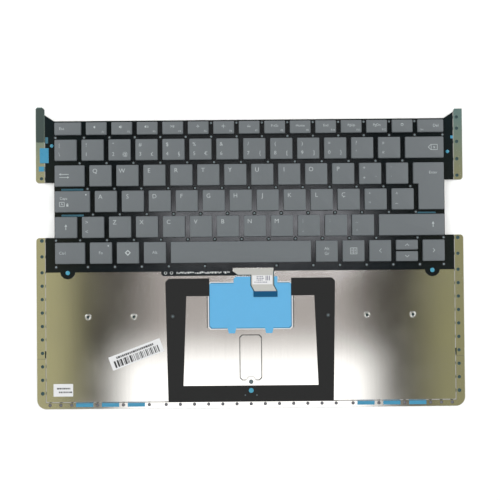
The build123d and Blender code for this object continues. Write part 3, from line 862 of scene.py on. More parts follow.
def model_arm(width, length, tilt, turned):
    """A U-shaped scissor arm round the origin: a cross bar with two legs."""
    s = sizes()
    bar, half = s.arm_bar, s.arm_thickness / 2
    arm = new_box((-width / 2, length / 2 - bar, -half), (width / 2, length / 2, half))
    bpy.ops.object.mode_set(mode="EDIT")
    for x in (bar - width / 2, width / 2 - bar):
        bpy.ops.mesh.select_all(action="SELECT")
        bpy.ops.mesh.bisect(plane_co=(x, 0, 0), plane_no=(1, 0, 0))
    pick(arm, "FACE", lambda f: f.normal.y < -FACING and abs(f.calc_center_median().x) > width / 2 - bar)
    bpy.ops.mesh.extrude_region_move(TRANSFORM_OT_translate={"value": (0, bar - length, 0)})
    bpy.ops.object.mode_set(mode="OBJECT")
    arm.rotation_euler = (-tilt if turned else tilt, 0, 0)
    settle()
    return place(arm, 0, 0, math.pi) if turned else arm


def model_dome(width, height):
    """A rubber dome that stands on height 0: a cone frustum with a dished crown."""
    select_none()
    bpy.ops.mesh.primitive_cone_add(
        vertices=DOME_SIDES, radius1=width / 2, radius2=width / 4, depth=height,
        location=(0, 0, height / 2),
    )
    dome = bpy.context.object
    settle()
    bpy.ops.object.mode_set(mode="EDIT")
    pick(dome, "FACE", lambda f: f.normal.z > FACING)
    bpy.ops.mesh.inset(thickness=width * CROWN_RIM)
    bpy.ops.transform.translate(value=(0, 0, -height * CROWN_DISH))
    bpy.ops.object.mode_set(mode="OBJECT")
    bpy.ops.object.shade_smooth_by_angle(angle=SMOOTH_ANGLE)
    return dome


def model_mechanism(depth):
    """Dome and crossing arms for a cap of that depth, standing on height 0."""
    s = sizes()
    room = MECHANISM_TOP - DECK_TOP
    length = min(s.arm_length, depth - 2 * s.cap_wall - END_ROOM)
    tilt = tilt_of(length, s.arm_thickness, room - TOP_ROOM)
    outer = model_arm(s.arm_width, length, tilt, False)
    inner = model_arm(s.arm_width - 2 * s.arm_bar - PIVOT_ROOM, length, tilt, True)
    for arm in (outer, inner):
        arm.data.transform(Matrix.Translation((0, 0, room / 2)))
        dress(arm, finish("acetal"))
    dome = model_dome(min(s.dome, length - 2 * s.arm_bar - END_ROOM), room)
    dress(dome, finish("silicone"))
    return join("mechanism_model", [dome, outer, inner])


class KEYBOARD_OT_mechanisms(bpy.types.Operator):
    """Model the dome and scissor arms under every key"""

    bl_idname = "keyboard.mechanisms"
    bl_label = "Key mechanisms"

    def execute(self, context):
        models = {}
        still = []
        fixed_names = {name for names in FIXED_ROWS.values() for name in names}
        for name, (x0, y0, x1, y1) in key_boxes().items():
            depth = round(y1 - y0, 6)
            if depth not in models:
                models[depth] = model_mechanism(y1 - y0)
            middle = ((x0 + x1) / 2, (y0 + y1) / 2, DECK_TOP)
            piece = copy_of(models[depth], f"mechanism_{name}", middle)
            if name in fixed_names:
                still.append(piece)
            else:
                fold_with(put_on_base(f"mechanism_{name}", [piece]))
        remove(models.values())
        rest = put_on_base("mechanisms_of_fixed_rows", still)
        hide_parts("rubber_domes", "outer_scissor_arms", "inner_scissor_arms")
        return {"FINISHED"}


class KEYBOARD_OT_stabilizers(bpy.types.Operator):
    """Bend the stabilizer wires of the widest keys"""

    bl_idname = "keyboard.stabilizers"
    bl_label = "Stabilizer wires"

    wire: length_property("Wire", "Diameter of the wire", 0.7)
    reach: length_property("Reach", "Length of a wire's legs", 7.0)
    inset: length_property("Inset", "Distance of a wire's legs from the cap's sides", 4.4)
    setback: length_property("Setback", "Distance of a wire's bar from the cap's rear side", 1.6)

    def execute(self, context):
        boxes = key_boxes()
        for name in ("space", "right_shift"):
            x0, y0, x1, y1 = boxes[name]
            left, right, rear = x0 + self.inset, x1 - self.inset, y1 - self.setback
            high = MECHANISM_TOP - self.wire
            low = DECK_TOP + self.wire
            points = [(left, rear - self.reach, low), (left, rear, high)]
            points += [(right, rear, high), (right, rear - self.reach, low)]
            line = bpy.data.curves.new("wire_line", "CURVE")
            line.dimensions = "3D"
            line.bevel_depth = self.wire / 2
            line.bevel_resolution = 2
            line.use_fill_caps = True
            spline = line.splines.new("POLY")
            spline.points.add(len(points) - 1)
            for point, spot in zip(spline.points, points):
                point.co = (*spot, 1)
            wire = bpy.data.objects.new(f"stabilizer_{name}", line)
            context.scene.collection.objects.link(wire)
            activate(wire)
            bpy.ops.object.convert(target="MESH")
            bpy.ops.object.shade_smooth_by_angle(angle=SMOOTH_ANGLE)
            wire = put_on_base(f"stabilizer_{name}", [context.object], "spring_wire")
            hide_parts("stabilizer_bars")
            fold_with(wire)
        return {"FINISHED"}


# Key deck, in millimetres

# Rivets: how far they stand in front of a row and of the last row, and inside the field's ends and rear edge
RIVET_DROP, LAST_RIVET_DROP, RIVET_END_INSET, RIVET_REAR_INSET = 1.5, 2.2, 0.4, 1.1
# Rows with a rivet at each end, and the first gap of the function row with one at its rear
END_RIVET_ROWS, FIRST_REAR_RIVET = (0, 4, 5), 5
SPACE_RIVETS, SHIFT_RIVET = (-31.9, 18.8), 118.7
COLLAR_HEIGHT, RIVET_HEIGHT = 0.2, 0.45
# Edge and sides of a rivet's collar and of its head
COLLAR_SHAPE, RIVET_SHAPE = (0.4, 12), (0.6, 10)
FILM_SLIVERS = [
    (-133.2, 47.5, -117.6, 48.9), (-133.2, 29.2, -117.4, 30.6), (117.6, 29.4, 131.8, 30.5),
    (-144.4, 81.2, -142.4, 85.6),
]
SLIVER_HEIGHT, SLIVER_CORNER, DOT_HEIGHT = 0.08, 0.3, 0.25
# Place and radius of each lacquer dot
DECK_DOTS = [(-129, -10.8, 1.55), (129, -10.8, 1.55), (-139.8, 79.4, 1.2), (140.6, 73.1, 1.2)]


class KEYBOARD_OT_deck(bpy.types.Operator):
    """Dress the black key deck with its rivets, film slivers and screw dots"""

    bl_idname = "keyboard.deck"
    bl_label = "Key deck"

    def execute(self, context):
        dress_node("switch_membrane", "black_pet_film")
        dress_node("backlight_panel", "reflector_film")
        self.rivets()
        self.slivers()
        return {"FINISHED"}

    def rivets(self):
        """Rivets stand in the gaps between the caps, in front of each row and along the rear edge."""
        s = sizes()
        spots = []
        rows = rows_of_keys()
        for index, row in enumerate(rows):
            boxes = list(row.values())
            drop = RIVET_DROP if index < len(rows) - 1 else LAST_RIVET_DROP
            y = boxes[0][1] - drop * MM
            gaps = [box[0] - s.key_gap / 2 for box in boxes[1:]]
            spots += [(x, y) for x in gaps]
            if index in END_RIVET_ROWS:
                spots += [(FIELD_LEFT + RIVET_END_INSET * MM, y), (FIELD_RIGHT - RIVET_END_INSET * MM, y)]
            if index == 0:
                spots += [(x, boxes[0][3] - RIVET_REAR_INSET * MM) for x in gaps[FIRST_REAR_RIVET:]]
        boxes = key_boxes()
        spots += [(x * MM, boxes["space"][1] - LAST_RIVET_DROP * MM) for x in SPACE_RIVETS]
        spots += [(SHIFT_RIVET * MM, boxes["right_shift"][1] - RIVET_DROP * MM)]
        step, top = DECK_TOP + COLLAR_HEIGHT * MM, DECK_TOP + RIVET_HEIGHT * MM
        collar = flat_disc(0, 0, DECK_TOP, step, s.rivet / 2 / MM, *COLLAR_SHAPE)
        head = flat_disc(0, 0, step, top, s.rivet / 4 / MM, *RIVET_SHAPE)
        dress(collar, finish("foam_tape"))
        dress(head, finish("rivet_tin"))
        rivet = join("rivet", [collar, head])
        rivets = [copy_of(rivet, "rivet_copy", (x, y, 0)) for x, y in spots]
        remove([rivet])
        put_on_base("deck_rivets", rivets)

    def slivers(self):
        """Blue film edges beside the caps and right shift keys, and the dots on the screw tabs."""
        strips = flat_strips(FILM_SLIVERS, DECK_TOP, DECK_TOP + SLIVER_HEIGHT * MM, SLIVER_CORNER)
        put_on_base("deck_film_slivers", strips, "teal_film")
        top = DECK_TOP + DOT_HEIGHT * MM
        dots = [flat_disc(x * MM, y * MM, DECK_TOP, top, radius) for x, y, radius in DECK_DOTS]
        put_on_base("deck_screw_dots", dots, "teal_lacquer")


# Carrier plate, in millimetres

SIDES = (-1, 1)
# Lines of holes: from the side edges and from the front edge
HOLE_INSET, FRONT_HOLE_INSET = 3.9, 2.65
# Holes nearer than this to the front edge are the front row
FRONT_ROW_DEPTH = 5
# Fixing holes of each side strip, and the deck's front edge between them
FIXING_REAR, DECK_FRONT, FIXING_FRONT = 12.15, -10.45, PLATE_FRONT + 10.95
STRIP_STEPS = 9
EAR_HOLE, LEFT_EAR_HOLE, RIGHT_EAR_HOLE, RIGHT_EAR_DROPS = 56.25, 104.35, 67.95, (9.3, 17.3, 26.7)
# Front holes: the middle run, those between the liners and those beside the corners
MIDDLE_RUN, MIDDLE_STEPS = 60.1, 6
LINER_START, LINER_PITCH, LINER_HOLES = 81.2, 18.3, 4
CORNER_INSETS = (9.1, 16.7)
# Outer and inner radius of the dark rims of plain and of fixing holes, which paint the shade at the holes'
# edges, and how far they go in and stand out
PLAIN_RIM, FIXING_RIM = (1.2, 0.95), (1.36, 1.16)
RIM_SUNK, RIM_PROUD, RIM_SIDES = 0.02, 0.06, 16
# The plate's fold lines, from the middle and from the front edge
FOLD = PLATE_HALF - 6.1
FRONT_FOLD = PLATE_FRONT + 4.35
# Dark sheet under the flange that paints the shade in its holes and slots: half its width, and its gaps to
# the floor and to the flange
SHADE_SHEET_HALF, SHADE_SHEET_FLOOR_GAP, SHADE_SHEET_GAP = 2.2, 0.03, 0.01
HOLE_LINE = PLATE_HALF - HOLE_INSET
FLANGE_SHADE_SHEETS = [(s * HOLE_LINE - SHADE_SHEET_HALF, PLATE_FRONT + 8, s * HOLE_LINE + SHADE_SHEET_HALF, 13.6) for s in SIDES]
FLANGE_SHADE_SHEETS += [
    (1.7 - PLATE_HALF, 54.0, 6.1 - PLATE_HALF, -PLATE_FRONT - 1.5),
    (PLATE_HALF - 6.1, 54.0, PLATE_HALF - 1.7, -PLATE_FRONT - 4.8),
]
# Short pieces under the relief slots paint the shade in them
FLANGE_SHADE_SHEETS += [(s * FOLD - 0.9, -72.0, s * FOLD + 0.9, -65.0) for s in SIDES]
# A grey sheet under the front holes paints the shade in them
FRONT_SHADE_SHEET = (8.0 - PLATE_HALF, PLATE_FRONT + 0.9, PLATE_HALF - 8.0, PLATE_FRONT + 4.3)
EAR_TAPE = (0.2 - PLATE_HALF, 82.0, -145.5, -PLATE_FRONT - 0.6)
EAR_TAPE_HEIGHT, EAR_TAPE_CORNER = 0.12, 0.8
# Painted shade as dark lines: lanced cuts beside the film, bend lines of the flange and the line round the
# tongue with its arch
LINE_HEIGHT, LINE_SUNK = 0.02, 0.01
PANEL_CUT_SHADES = [(s * 30.6 - 0.25, -50.5, s * 30.6 + 0.25, -28.2) for s in SIDES]
BEND_SHADE_LINES = [(-FOLD, FRONT_FOLD - 0.2, FOLD, FRONT_FOLD)]
BEND_SHADE_LINES += [(s * FOLD - 0.1, FRONT_FOLD, s * FOLD + 0.1, FRONT_FOLD + 28) for s in SIDES]
BEND_SHADE_LINES += [(s * (FOLD + 3) - 3, -71.7, s * (FOLD + 3) + 3, -71.5) for s in SIDES]
TONGUE_BOX, TONGUE_CORNER = (-8.0, -87.8, 8.0, -55.3), 1.8
ARCH_HALF, ARCH_FRONT, ARCH_MIDDLE, ARCH_REAR, ARCH_NARROWING = 4.6, -89, -87, -85.4, 0.38


def flange_holes():
    """Middles of the punched holes of the sheet, and of its fixing holes."""
    front = PLATE_FRONT + FRONT_HOLE_INSET
    step = (FIXING_FRONT - DECK_FRONT) / STRIP_STEPS
    right = [(HOLE_LINE, (FIXING_REAR + DECK_FRONT) / 2), (HOLE_LINE, EAR_HOLE)]
    right += [(HOLE_LINE, DECK_FRONT + step * i) for i in range(STRIP_STEPS)]
    right += [(MIDDLE_RUN * i / MIDDLE_STEPS, front) for i in range(1, MIDDLE_STEPS + 1)]
    right += [(LINER_START + LINER_PITCH * (i - 0.5), front) for i in range(LINER_HOLES)]
    right += [(PLATE_HALF - inset, front) for inset in CORNER_INSETS]
    plain = [(0, front), (-HOLE_LINE, LEFT_EAR_HOLE), (HOLE_LINE, RIGHT_EAR_HOLE)]
    plain += [(HOLE_LINE, -PLATE_FRONT - drop) for drop in RIGHT_EAR_DROPS]
    plain += right + [(-x, y) for x, y in right]
    fixing = [(side * HOLE_LINE, y) for side in SIDES for y in (FIXING_REAR, FIXING_FRONT)]
    return plain, fixing


class KEYBOARD_OT_plate(bpy.types.Operator):
    """Dress the steel carrier plate: dark hole rims, a dark sheet behind the flange and dark cut and bend
    lines, which paint the shade, and the ear tape
    """

    bl_idname = "keyboard.plate"
    bl_label = "Carrier plate"

    def execute(self, context):
        dress_node("carrier_plate", "brushed_steel")
        self.rims()
        self.tapes()
        self.lines()
        return {"FINISHED"}

    def rims(self):
        """Painted shade: a dark ring round each hole widens the shaded disc that the hole shows."""
        plain, fixing = flange_holes()
        low, high = FLANGE_TOP - RIM_SUNK * MM, FLANGE_TOP + RIM_PROUD * MM
        small, large = [ring(0, 0, low, high, *radii, RIM_SIDES) for radii in (PLAIN_RIM, FIXING_RIM)]
        limit = PLATE_FRONT + FRONT_ROW_DEPTH
        rims = [copy_of(small, "rim", (x * MM, y * MM, 0)) for x, y in plain if y > limit]
        rims += [copy_of(large, "rim", (x * MM, y * MM, 0)) for x, y in fixing]
        front = [copy_of(small, "rim", (x * MM, y * MM, 0)) for x, y in plain if y < limit]
        remove([small, large])
        put_on_base("flange_hole_rims", rims, "backing_tape")
        put_on_base("front_hole_rims", front, "bend_shadow")

    def tapes(self):
        """Painted shade: a dark sheet under the flange, which shows through its holes and slots, and a grey
        one under the front holes; and the tape on the left ear.
        """
        low, high = SHADE_SHEET_FLOOR_GAP * MM, FLANGE_BOTTOM - SHADE_SHEET_GAP * MM
        put_on_base("flange_tape", flat_strips(FLANGE_SHADE_SHEETS, low, high), "backing_tape")
        put_on_base("front_tape", [flat_strip(FRONT_SHADE_SHEET, low, high)], "grey_tape")
        ear = flat_strip(EAR_TAPE, FLANGE_TOP, FLANGE_TOP + EAR_TAPE_HEIGHT * MM, EAR_TAPE_CORNER)
        put_on_base("ear_tape", [ear], "ear_cloth")

    def lines(self):
        """Painted shade of the lanced cuts, the cut round the tongue and the bend lines of the sheet, drawn
        as fine dark lines.
        """
        low, high = PANEL_TOP, PANEL_TOP + LINE_HEIGHT * MM
        put_on_base("panel_cut_lines", flat_strips(PANEL_CUT_SHADES, low, high), "black_oxide")
        put_on_base("tongue_line", [self.tongue_line(low, high)], "bend_shadow")
        low, high = FLANGE_TOP - LINE_SUNK * MM, FLANGE_TOP + LINE_HEIGHT * MM
        put_on_base("flange_bend_lines", flat_strips(BEND_SHADE_LINES, low, high), "bend_shadow")

    def tongue_line(self, low, high):
        """Painted shade: the dark line round the tongue and along its arch over the screw."""
        line = flat_strip(TONGUE_BOX, low, high, TONGUE_CORNER, 1)
        corners = (-ARCH_HALF * MM, ARCH_FRONT * MM, low - MM), (ARCH_HALF * MM, ARCH_REAR * MM, high + MM)
        arch = new_box(*corners)
        bpy.ops.object.mode_set(mode="EDIT")
        pick(arch, "VERT", lambda v: v.co.y > ARCH_MIDDLE * MM)
        bpy.ops.transform.resize(value=(ARCH_NARROWING, 1, 1))
        bpy.ops.object.mode_set(mode="OBJECT")
        cut = line.modifiers.new("arch", "BOOLEAN")
        cut.operation = "DIFFERENCE"
        cut.object = arch
        activate(line)
        bpy.ops.object.modifier_apply(modifier=cut.name)
        remove([arch])
        return line


# Palm panel, in millimetres

NUT_PLACES = (-114.8, -82.4, 82.4, 114.8)
NUT_RADIUS, NUT_BORE, NUT_SIDES = 2.25, 0.95, 32
# Dark disc under each nut's bore, painted shade: its foot, its top and its radius
BORE_SHADE_LOW, BORE_SHADE_HIGH, BORE_SHADE_RADIUS = 0.3, 0.6, 1.15
# Screws, recesses and pins: x, y and radius, then how high they stand and a pin's edge and sides
GASKET_SCREW, GASKET_RECESS, GASKET_PIN = (54.9, -42.1, 1.5), (54.9, -42.1, 0.75), (4.1, -98.1, 0.5)
SCREW_HEIGHT, RECESS_HEIGHT, PIN_HEIGHT, PIN_SHAPE = 0.3, 0.36, 0.1, (0.35, 10)
TONGUE_SCREW, TONGUE_SCREW_HEIGHT = (0.1, -88.7, 1.6), 0.6
PALM_DOT = (0.1, -94.8, 1.7)
# The film's box without its tabs, and for each sheet under it how far it shows, its height and its finish: a
# white border, partly the film's adhesive and partly a painted highlight, and a deep blue border of painted
# shade
FILM_BOX, FILM_CORNER = (-28.75, -50.55, 28.75, -19.15), 1.5
FILM_SHEETS = [("film_adhesive", 1.1, 0.05, "label_paper"), ("film_cut_edge", 0.55, 0.08, "film_edge")]
# Painted shadow along the sides of the tail: its lines, width and depth under its top
TAIL_SHADOW_LINES = [
    [(-9.0, -13.2), (0.6, -13.2), (0.6, -20.6), (2.8, -24.8)],
    [(16.6, -11.0), (16.6, -20.5), (18.8, -24.7)],
]
TAIL_SHADOW_WIDTH, TAIL_SHADOW_LOW, TAIL_SHADOW_HIGH = 0.9, 0.14, 0.06
PALM_NODES = {
    "touchpad_gasket": "foam_tape", "insulating_film": "blue_pet_film", "flex_tail": "flex_shield",
    "tail_stiffener": "stiffener_board", "tail_cover": "cover_tape", "release_liners": "release_liner",
    "paper_labels": "label_paper",
}


def stud(spot, base, low, high, *shape):
    """A small head or pin at a place of the palm panel, between two heights over a base."""
    x, y, radius = spot
    return flat_disc(x * MM, y * MM, base + low * MM, base + high * MM, radius, *shape)


def stud_pair(spot, base, low, high, *shape):
    x, y, radius = spot
    return [stud((side * x, y, radius), base, low, high, *shape) for side in SIDES]


class KEYBOARD_OT_touchpad_area(bpy.types.Operator):
    """Dress the touchpad gasket, film, tail, nuts and screws of the palm panel"""

    bl_idname = "keyboard.touchpad_area"
    bl_label = "Touchpad area"

    def execute(self, context):
        for node, look in PALM_NODES.items():
            dress_node(node, look)
        self.nuts()
        self.screws()
        self.edges()
        return {"FINISHED"}

    def nuts(self):
        """Round press nuts with a softened bore, and a dark disc under each bore that paints the shade inside
        it.
        """
        low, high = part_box("palm_nuts")
        y = (low.y + high.y) / 2
        shape = (NUT_RADIUS, NUT_BORE, NUT_SIDES)
        rings = [ring(x * MM, y, PANEL_TOP, high.z, *shape) for x in NUT_PLACES]
        nuts = put_on_base("palm_nut_rings", rings, "nickel_plate")
        low, high = BORE_SHADE_LOW * MM, BORE_SHADE_HIGH * MM
        bore_shades = [flat_disc(x * MM, y, low, high, BORE_SHADE_RADIUS) for x in NUT_PLACES]
        put_on_base("palm_nut_bore_tape", bore_shades, "backing_tape")
        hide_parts("palm_nuts")

    def screws(self):
        """Screws and pins in the gasket, the screw in front of the tongue and a lacquer dot."""
        heads = stud_pair(GASKET_SCREW, GASKET_TOP, 0, SCREW_HEIGHT)
        put_on_base("palm_screw_heads", heads, "black_oxide")
        pins = stud_pair(GASKET_RECESS, GASKET_TOP, SCREW_HEIGHT, RECESS_HEIGHT)
        pins += stud_pair(GASKET_PIN, GASKET_TOP, 0, PIN_HEIGHT, *PIN_SHAPE)
        put_on_base("gasket_pins", pins, "dull_zinc")
        screw = stud(TONGUE_SCREW, PANEL_TOP, 0, TONGUE_SCREW_HEIGHT)
        put_on_base("tongue_screw", [screw], "dull_zinc")
        dot = stud(PALM_DOT, GASKET_TOP, 0, PIN_HEIGHT)
        put_on_base("palm_lacquer_dot", [dot], "teal_lacquer")

    def edges(self):
        """White adhesive round the film, partly a painted highlight, a deep blue border of painted shade
        round it, and a painted shadow along the sides of the tail.
        """
        x0, y0, x1, y1 = FILM_BOX
        for name, grow, height, look in FILM_SHEETS:
            box = (x0 - grow, y0 - grow, x1 + grow, y1 + grow)
            sheet = flat_strip(box, PANEL_TOP, PANEL_TOP + height * MM, FILM_CORNER, 1)
            put_on_base(name, [sheet], look)
        low, high = TAIL_TOP - TAIL_SHADOW_LOW * MM, TAIL_TOP - TAIL_SHADOW_HIGH * MM
        edges = [strip for line in TAIL_SHADOW_LINES for strip in ribbon(line, TAIL_SHADOW_WIDTH, low, high)]
        put_on_base("tail_dark_edges", edges, "backing_tape")


# Label print, in millimetres

# Heights of the ink over what a label lies on, and the gap between two dashes
INK_LOW, INK_HIGH, DASH_GAP = 0.095, 0.12, 0.4
PRINT_SEED = 11
# The long label: place, tilt in degrees, ends and height of its bars and of its row of dashes
LONG_LABEL, LONG_LABEL_TILT = (-81.0, -68.75), 20.5
LONG_BARS, LONG_DASHES = (-16.8, 16.4, -3.9, 1.0), (-14.0, 14.0, 1.9, 3.4)
# Rows of dashes on the small labels: left end, right end, foot and top
CORNER_ROWS = [(-137.1, -128.3, -93.0, -91.9), (-135.8, -127.8, -95.6, -94.5)]
TAIL_ROWS = [(3.0, 12.4, -18.7, -18.1)]
TAIL_ROWS += [(4.6, 9.2, foot, foot + 0.6) for foot in (-17.2, -16.0, -14.8)]
TAIL_BARS = [(x, -17.2, x + 0.55, -13.9) for x in (11.0, 12.1, 13.4)]
# The small labels' ink: what the label lies on, bars, rows, widths of the dashes and finish
SMALL_LABELS = {
    "corner_label_ink": (PANEL_TOP, [], CORNER_ROWS, (0.6, 0.9, 1.3), "label_ink"),
    "tail_label_ink": (TAIL_TOP, TAIL_BARS, TAIL_ROWS, (0.5, 0.9, 1.2), "faded_ink"),
}
# The cover strip: its line, its rings, the ends of its dashes and the gap in them
COVER_LINE, COVER_RINGS, COVER_RING = -11.3, (-59.8, -55.6), (1.1, 0.75, 16)
COVER_ENDS, COVER_BREAK, COVER_FOOT = (-52.0, -14.2), (-20.9, -18.9), 0.75
PRINT_SUNK, PRINT_PROUD = 0.005, 0.02


def dashes(draw, x, end, foot, top, widths, gaps=(DASH_GAP,)):
    """Boxes of mixed width in a row; one gap is kept as it is, and from several one is drawn each time."""
    boxes = []
    while x < end:
        width = draw.choice(widths)
        boxes.append((x, foot, x + width, top))
        x += width + (draw.choice(gaps) if len(gaps) > 1 else gaps[0])
    return boxes


class KEYBOARD_OT_print(bpy.types.Operator):
    """Put plain bars on the labels and the cover strip"""

    bl_idname = "keyboard.print"
    bl_label = "Label print"

    def execute(self, context):
        draw = random.Random(PRINT_SEED)
        self.long_label(draw)
        self.small_labels(draw)
        self.cover_strip(draw)
        return {"FINISHED"}

    def long_label(self, draw):
        """Upright bars of mixed width with a row of short dashes above, tilted with the label."""
        boxes = dashes(draw, *LONG_BARS, (0.4, 0.4, 0.8, 1.3), (0.4, 0.5, 0.9))
        boxes += dashes(draw, *LONG_DASHES, (0.8, 1.1, 1.5))
        ink = bars(0, 0, PANEL_TOP + INK_LOW * MM, PANEL_TOP + INK_HIGH * MM, boxes)
        x, y = LONG_LABEL
        place(ink, x * MM, y * MM, math.radians(LONG_LABEL_TILT))
        put_on_base("long_label_ink", [ink], "label_ink")

    def small_labels(self, draw):
        """Short dashes in rows on the corner label and the tail label."""
        for name, (base, boxes, rows, widths, look) in SMALL_LABELS.items():
            for row in rows:
                boxes = boxes + dashes(draw, *row, widths)
            ink = bars(0, 0, base + INK_LOW * MM, base + INK_HIGH * MM, boxes)
            put_on_base(name, [ink], look)

    def cover_strip(self, draw):
        """Two small rings and a row of dashes on the black strip."""
        low, high = COVER_TOP - PRINT_SUNK * MM, COVER_TOP + PRINT_PROUD * MM
        made = [ring(x * MM, COVER_LINE * MM, low, high, *COVER_RING) for x in COVER_RINGS]
        boxes = []
        x, end = COVER_ENDS
        while x < end:
            width = draw.choice((0.4, 0.6, 0.9, 1.2))
            foot = COVER_LINE - COVER_FOOT + draw.choice((0.0, 0.0, 0.5))
            if not COVER_BREAK[0] < x < COVER_BREAK[1]:
                boxes.append((x, foot, x + width, foot + draw.choice((0.9, 1.4))))
            x += width + draw.choice((0.3, 0.3, 0.7))
        made.append(bars(0, 0, low, high, boxes))
        put_on_base("cover_strip_print", made, "white_print")


# Stage

# Soft boxes: place in metres and power in watts
SOFT_BOX_SIDE = 1.0
SOFT_BOXES = {"left_box": ((-1.1, 0.5, 1.1), 9.0), "right_box": ((1.1, 0.4, 1.1), 8.5)}
# The room by its slopes: u is how far right and v how far back a ray goes for each metre that it climbs.
# Distances from a middle slope
ROOM_DISTANCES = [
    ("side", "u", 0.0), ("lamp_side", "u", -0.004), ("window_side", "u", 0.014), ("window_depth", "v", 0.042),
]
# Ramps between two slopes or distances
ROOM_RAMPS = [
    ("band", "side", 0.08, 0.135, "SMOOTHSTEP"),
    ("wall", "side", 0.155, 0.2, "SMOOTHSTEP"),
    ("across", "u", -0.2, 0.2, "LINEAR"),
    ("along", "v", 0.084, 0.149, "LINEAR"),
    ("ends", "lamp_side", 0.155, 0.1, "SMOOTHSTEP"),
    ("glow", "v", -0.061, -0.116, "SMOOTHSTEP"),
    ("pane_across", "window_side", 0.115, 0.085, "SMOOTHSTEP"),
    ("pane_along", "window_depth", 0.021, 0.011, "SMOOTHSTEP"),
    ("far", "away", 0.3, 0.6, "SMOOTHSTEP"),
]
ROOM_PRODUCTS = [("lamp", "ends", "glow"), ("window", "pane_across", "pane_along")]
# Blends by a ramp or product between two colours, linear because light goes over 1, or earlier blends
ROOM_BLENDS = [
    ("middle", "band", (0.51, 0.475, 0.46, 1), (0.075, 0.07, 0.058, 1)),
    ("olive", "across", (0.52, 0.5, 0.28, 1), (0.36, 0.35, 0.19, 1)),
    ("walls", "along", "olive", (0.175, 0.3, 0.3, 1)),
    ("unlit", "wall", "middle", "walls"),
    ("lit", "lamp", "unlit", (2.0, 2.0, 2.0, 1)),
    ("near", "window", "lit", (9.5, 9.6, 10.2, 1)),
    ("room", "far", "near", (0.8, 0.81, 0.82, 1)),
]
LEAST_CLIMB = 0.05
FLOOR_SIZE, FLOOR_GAP = 6, 0.1 * MM
SENSOR, CLIP_START = 36, 0.01
# How far behind the part's middle the camera aims, and the level from which its height counts
VIEW_MIDDLE, VIEW_LEVEL = 4.4 * MM, 3 * MM


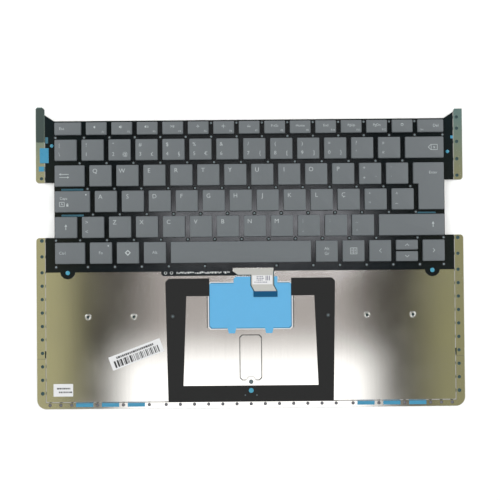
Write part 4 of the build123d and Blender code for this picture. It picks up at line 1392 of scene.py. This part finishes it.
class KEYBOARD_OT_stage(bpy.types.Operator):
    """Set the pale floor, the soft light and the camera straight above"""

    bl_idname = "keyboard.stage"
    bl_label = "Stage"

    height: length_property("Camera height", "Height of the camera over the keys", 700)
    view: length_property("View width", "Width that the picture shows", 353.2)
    pitch: angle_property("Pitch", "Lean of the camera over the front edge", 0.8)
    roll: angle_property("Roll", "Turn of the picture", -0.5)

    def execute(self, context):
        self.floor()
        self.lights(context)
        self.room(context)
        self.camera(context)
        context.scene.view_settings.view_transform = "Standard"
        return {"FINISHED"}

    def floor(self):
        """A wide white table just under the part."""
        select_none()
        bpy.ops.mesh.primitive_plane_add(size=FLOOR_SIZE, location=(0, 0, -FLOOR_GAP))
        floor = bpy.context.object
        floor.name = "floor"
        dress(floor, finish("white_table"))

    def lights(self, context):
        """Two large soft boxes at the sides, which the plate doesn't mirror towards the camera."""
        for name, (spot, power) in SOFT_BOXES.items():
            light = bpy.data.lights.new(name, "AREA")
            light.shape = "SQUARE"
            light.size = SOFT_BOX_SIDE
            light.energy = power
            lamp = bpy.data.objects.new(name, light)
            context.scene.collection.objects.link(lamp)
            lamp.location = spot
            lamp.rotation_euler = (-Vector(spot)).to_track_quat("-Z", "Y").to_euler()

    def room(self, context):
        """The room that the plate mirrors: a white lamp over the palm side, dark bands beside it, olive walls
        and a window over the middle of the key deck."""
        world = bpy.data.worlds.new("room")
        context.scene.world = world
        world.use_nodes = True
        tree = world.node_tree
        tree.nodes.clear()
        ray = add_node(tree, "ShaderNodeTexCoord").outputs["Generated"]
        axis = add_node(tree, "ShaderNodeSeparateXYZ", None, {"Vector": ray}).outputs
        climb = add_node(tree, "ShaderNodeMath", {"operation": "MAXIMUM"}, {0: axis["Z"], 1: LEAST_CLIMB})
        level = add_node(tree, "ShaderNodeVectorMath", {"operation": "MULTIPLY"}, {0: ray, 1: (1, 1, 0)})
        away = add_node(tree, "ShaderNodeVectorMath", {"operation": "LENGTH"}, {0: level.outputs[0]})
        made = {"away": away.outputs["Value"]}
        for name, part in (("u", "X"), ("v", "Y")):
            slope = {0: axis[part], 1: climb.outputs[0]}
            made[name] = add_node(tree, "ShaderNodeMath", {"operation": "DIVIDE"}, slope).outputs[0]
        for name, slope, middle in ROOM_DISTANCES:
            moved = add_node(tree, "ShaderNodeMath", {"operation": "SUBTRACT"}, {0: made[slope], 1: middle})
            size = {0: moved.outputs[0]}
            made[name] = add_node(tree, "ShaderNodeMath", {"operation": "ABSOLUTE"}, size).outputs[0]
        for name, value, start, end, course in ROOM_RAMPS:
            run = {"Value": made[value], "From Min": start, "From Max": end}
            made[name] = add_node(tree, "ShaderNodeMapRange", {"interpolation_type": course}, run).outputs[0]
        for name, first, second in ROOM_PRODUCTS:
            pair = {0: made[first], 1: made[second]}
            made[name] = add_node(tree, "ShaderNodeMath", {"operation": "MULTIPLY"}, pair).outputs[0]
        for name, factor, start, end in ROOM_BLENDS:
            pair = {0: made[factor], 6: made.get(start, start), 7: made.get(end, end)}
            made[name] = add_node(tree, "ShaderNodeMix", {"data_type": "RGBA"}, pair).outputs[2]
        background = add_node(tree, "ShaderNodeBackground", None, {"Color": made["room"], "Strength": 1.0})
        add_node(tree, "ShaderNodeOutputWorld", None, {"Surface": background.outputs[0]})

    def camera(self, context):
        """A camera straight above with a long lens, which leans and turns a little like the photo's."""
        data = bpy.data.cameras.new("camera")
        data.sensor_width = SENSOR
        data.lens = SENSOR * self.height / self.view
        data.clip_start = CLIP_START
        camera = bpy.data.objects.new("camera", data)
        context.scene.collection.objects.link(camera)
        lean = self.height * math.sin(self.pitch)
        camera.location = (0, VIEW_MIDDLE - lean, self.height + VIEW_LEVEL)
        camera.rotation_euler = (self.pitch, 0, self.roll)
        context.scene.camera = camera


class KEYBOARD_PT_panel(bpy.types.Panel):
    """Lists the steps that dress the keyboard"""

    bl_idname = "KEYBOARD_PT_panel"
    bl_label = "Keyboard"
    bl_space_type = "VIEW_3D"
    bl_region_type = "UI"
    bl_category = "Keyboard"

    def draw(self, context):
        for step in STEPS:
            self.layout.operator(step.bl_idname)
        for group in (context.scene.keyboard_sizes, context.scene.keyboard_colours):
            for name in group.__annotations__:
                self.layout.prop(group, name)


STEPS = [
    KEYBOARD_OT_stage,
    KEYBOARD_OT_plate,
    KEYBOARD_OT_deck,
    KEYBOARD_OT_touchpad_area,
    KEYBOARD_OT_print,
    KEYBOARD_OT_mechanisms,
    KEYBOARD_OT_stabilizers,
    KEYBOARD_OT_keycaps,
]
CLASSES = [KeyboardSizes, KeyboardColours, *STEPS, KEYBOARD_PT_panel]


def register():
    for cls in CLASSES:
        bpy.utils.register_class(cls)
    bpy.types.Scene.keyboard_sizes = bpy.props.PointerProperty(type=KeyboardSizes)
    bpy.types.Scene.keyboard_colours = bpy.props.PointerProperty(type=KeyboardColours)


def unregister():
    del bpy.types.Scene.keyboard_colours
    del bpy.types.Scene.keyboard_sizes
    for cls in reversed(CLASSES):
        bpy.utils.unregister_class(cls)


def main():
    register()
    bpy.ops.keyboard.stage()
    bpy.ops.keyboard.plate()
    bpy.ops.keyboard.deck()
    bpy.ops.keyboard.touchpad_area()
    bpy.ops.keyboard.print()
    bpy.ops.keyboard.mechanisms()
    bpy.ops.keyboard.stabilizers()
    bpy.ops.keyboard.keycaps()
    select_none()


if __name__ == "__main__":
    main()
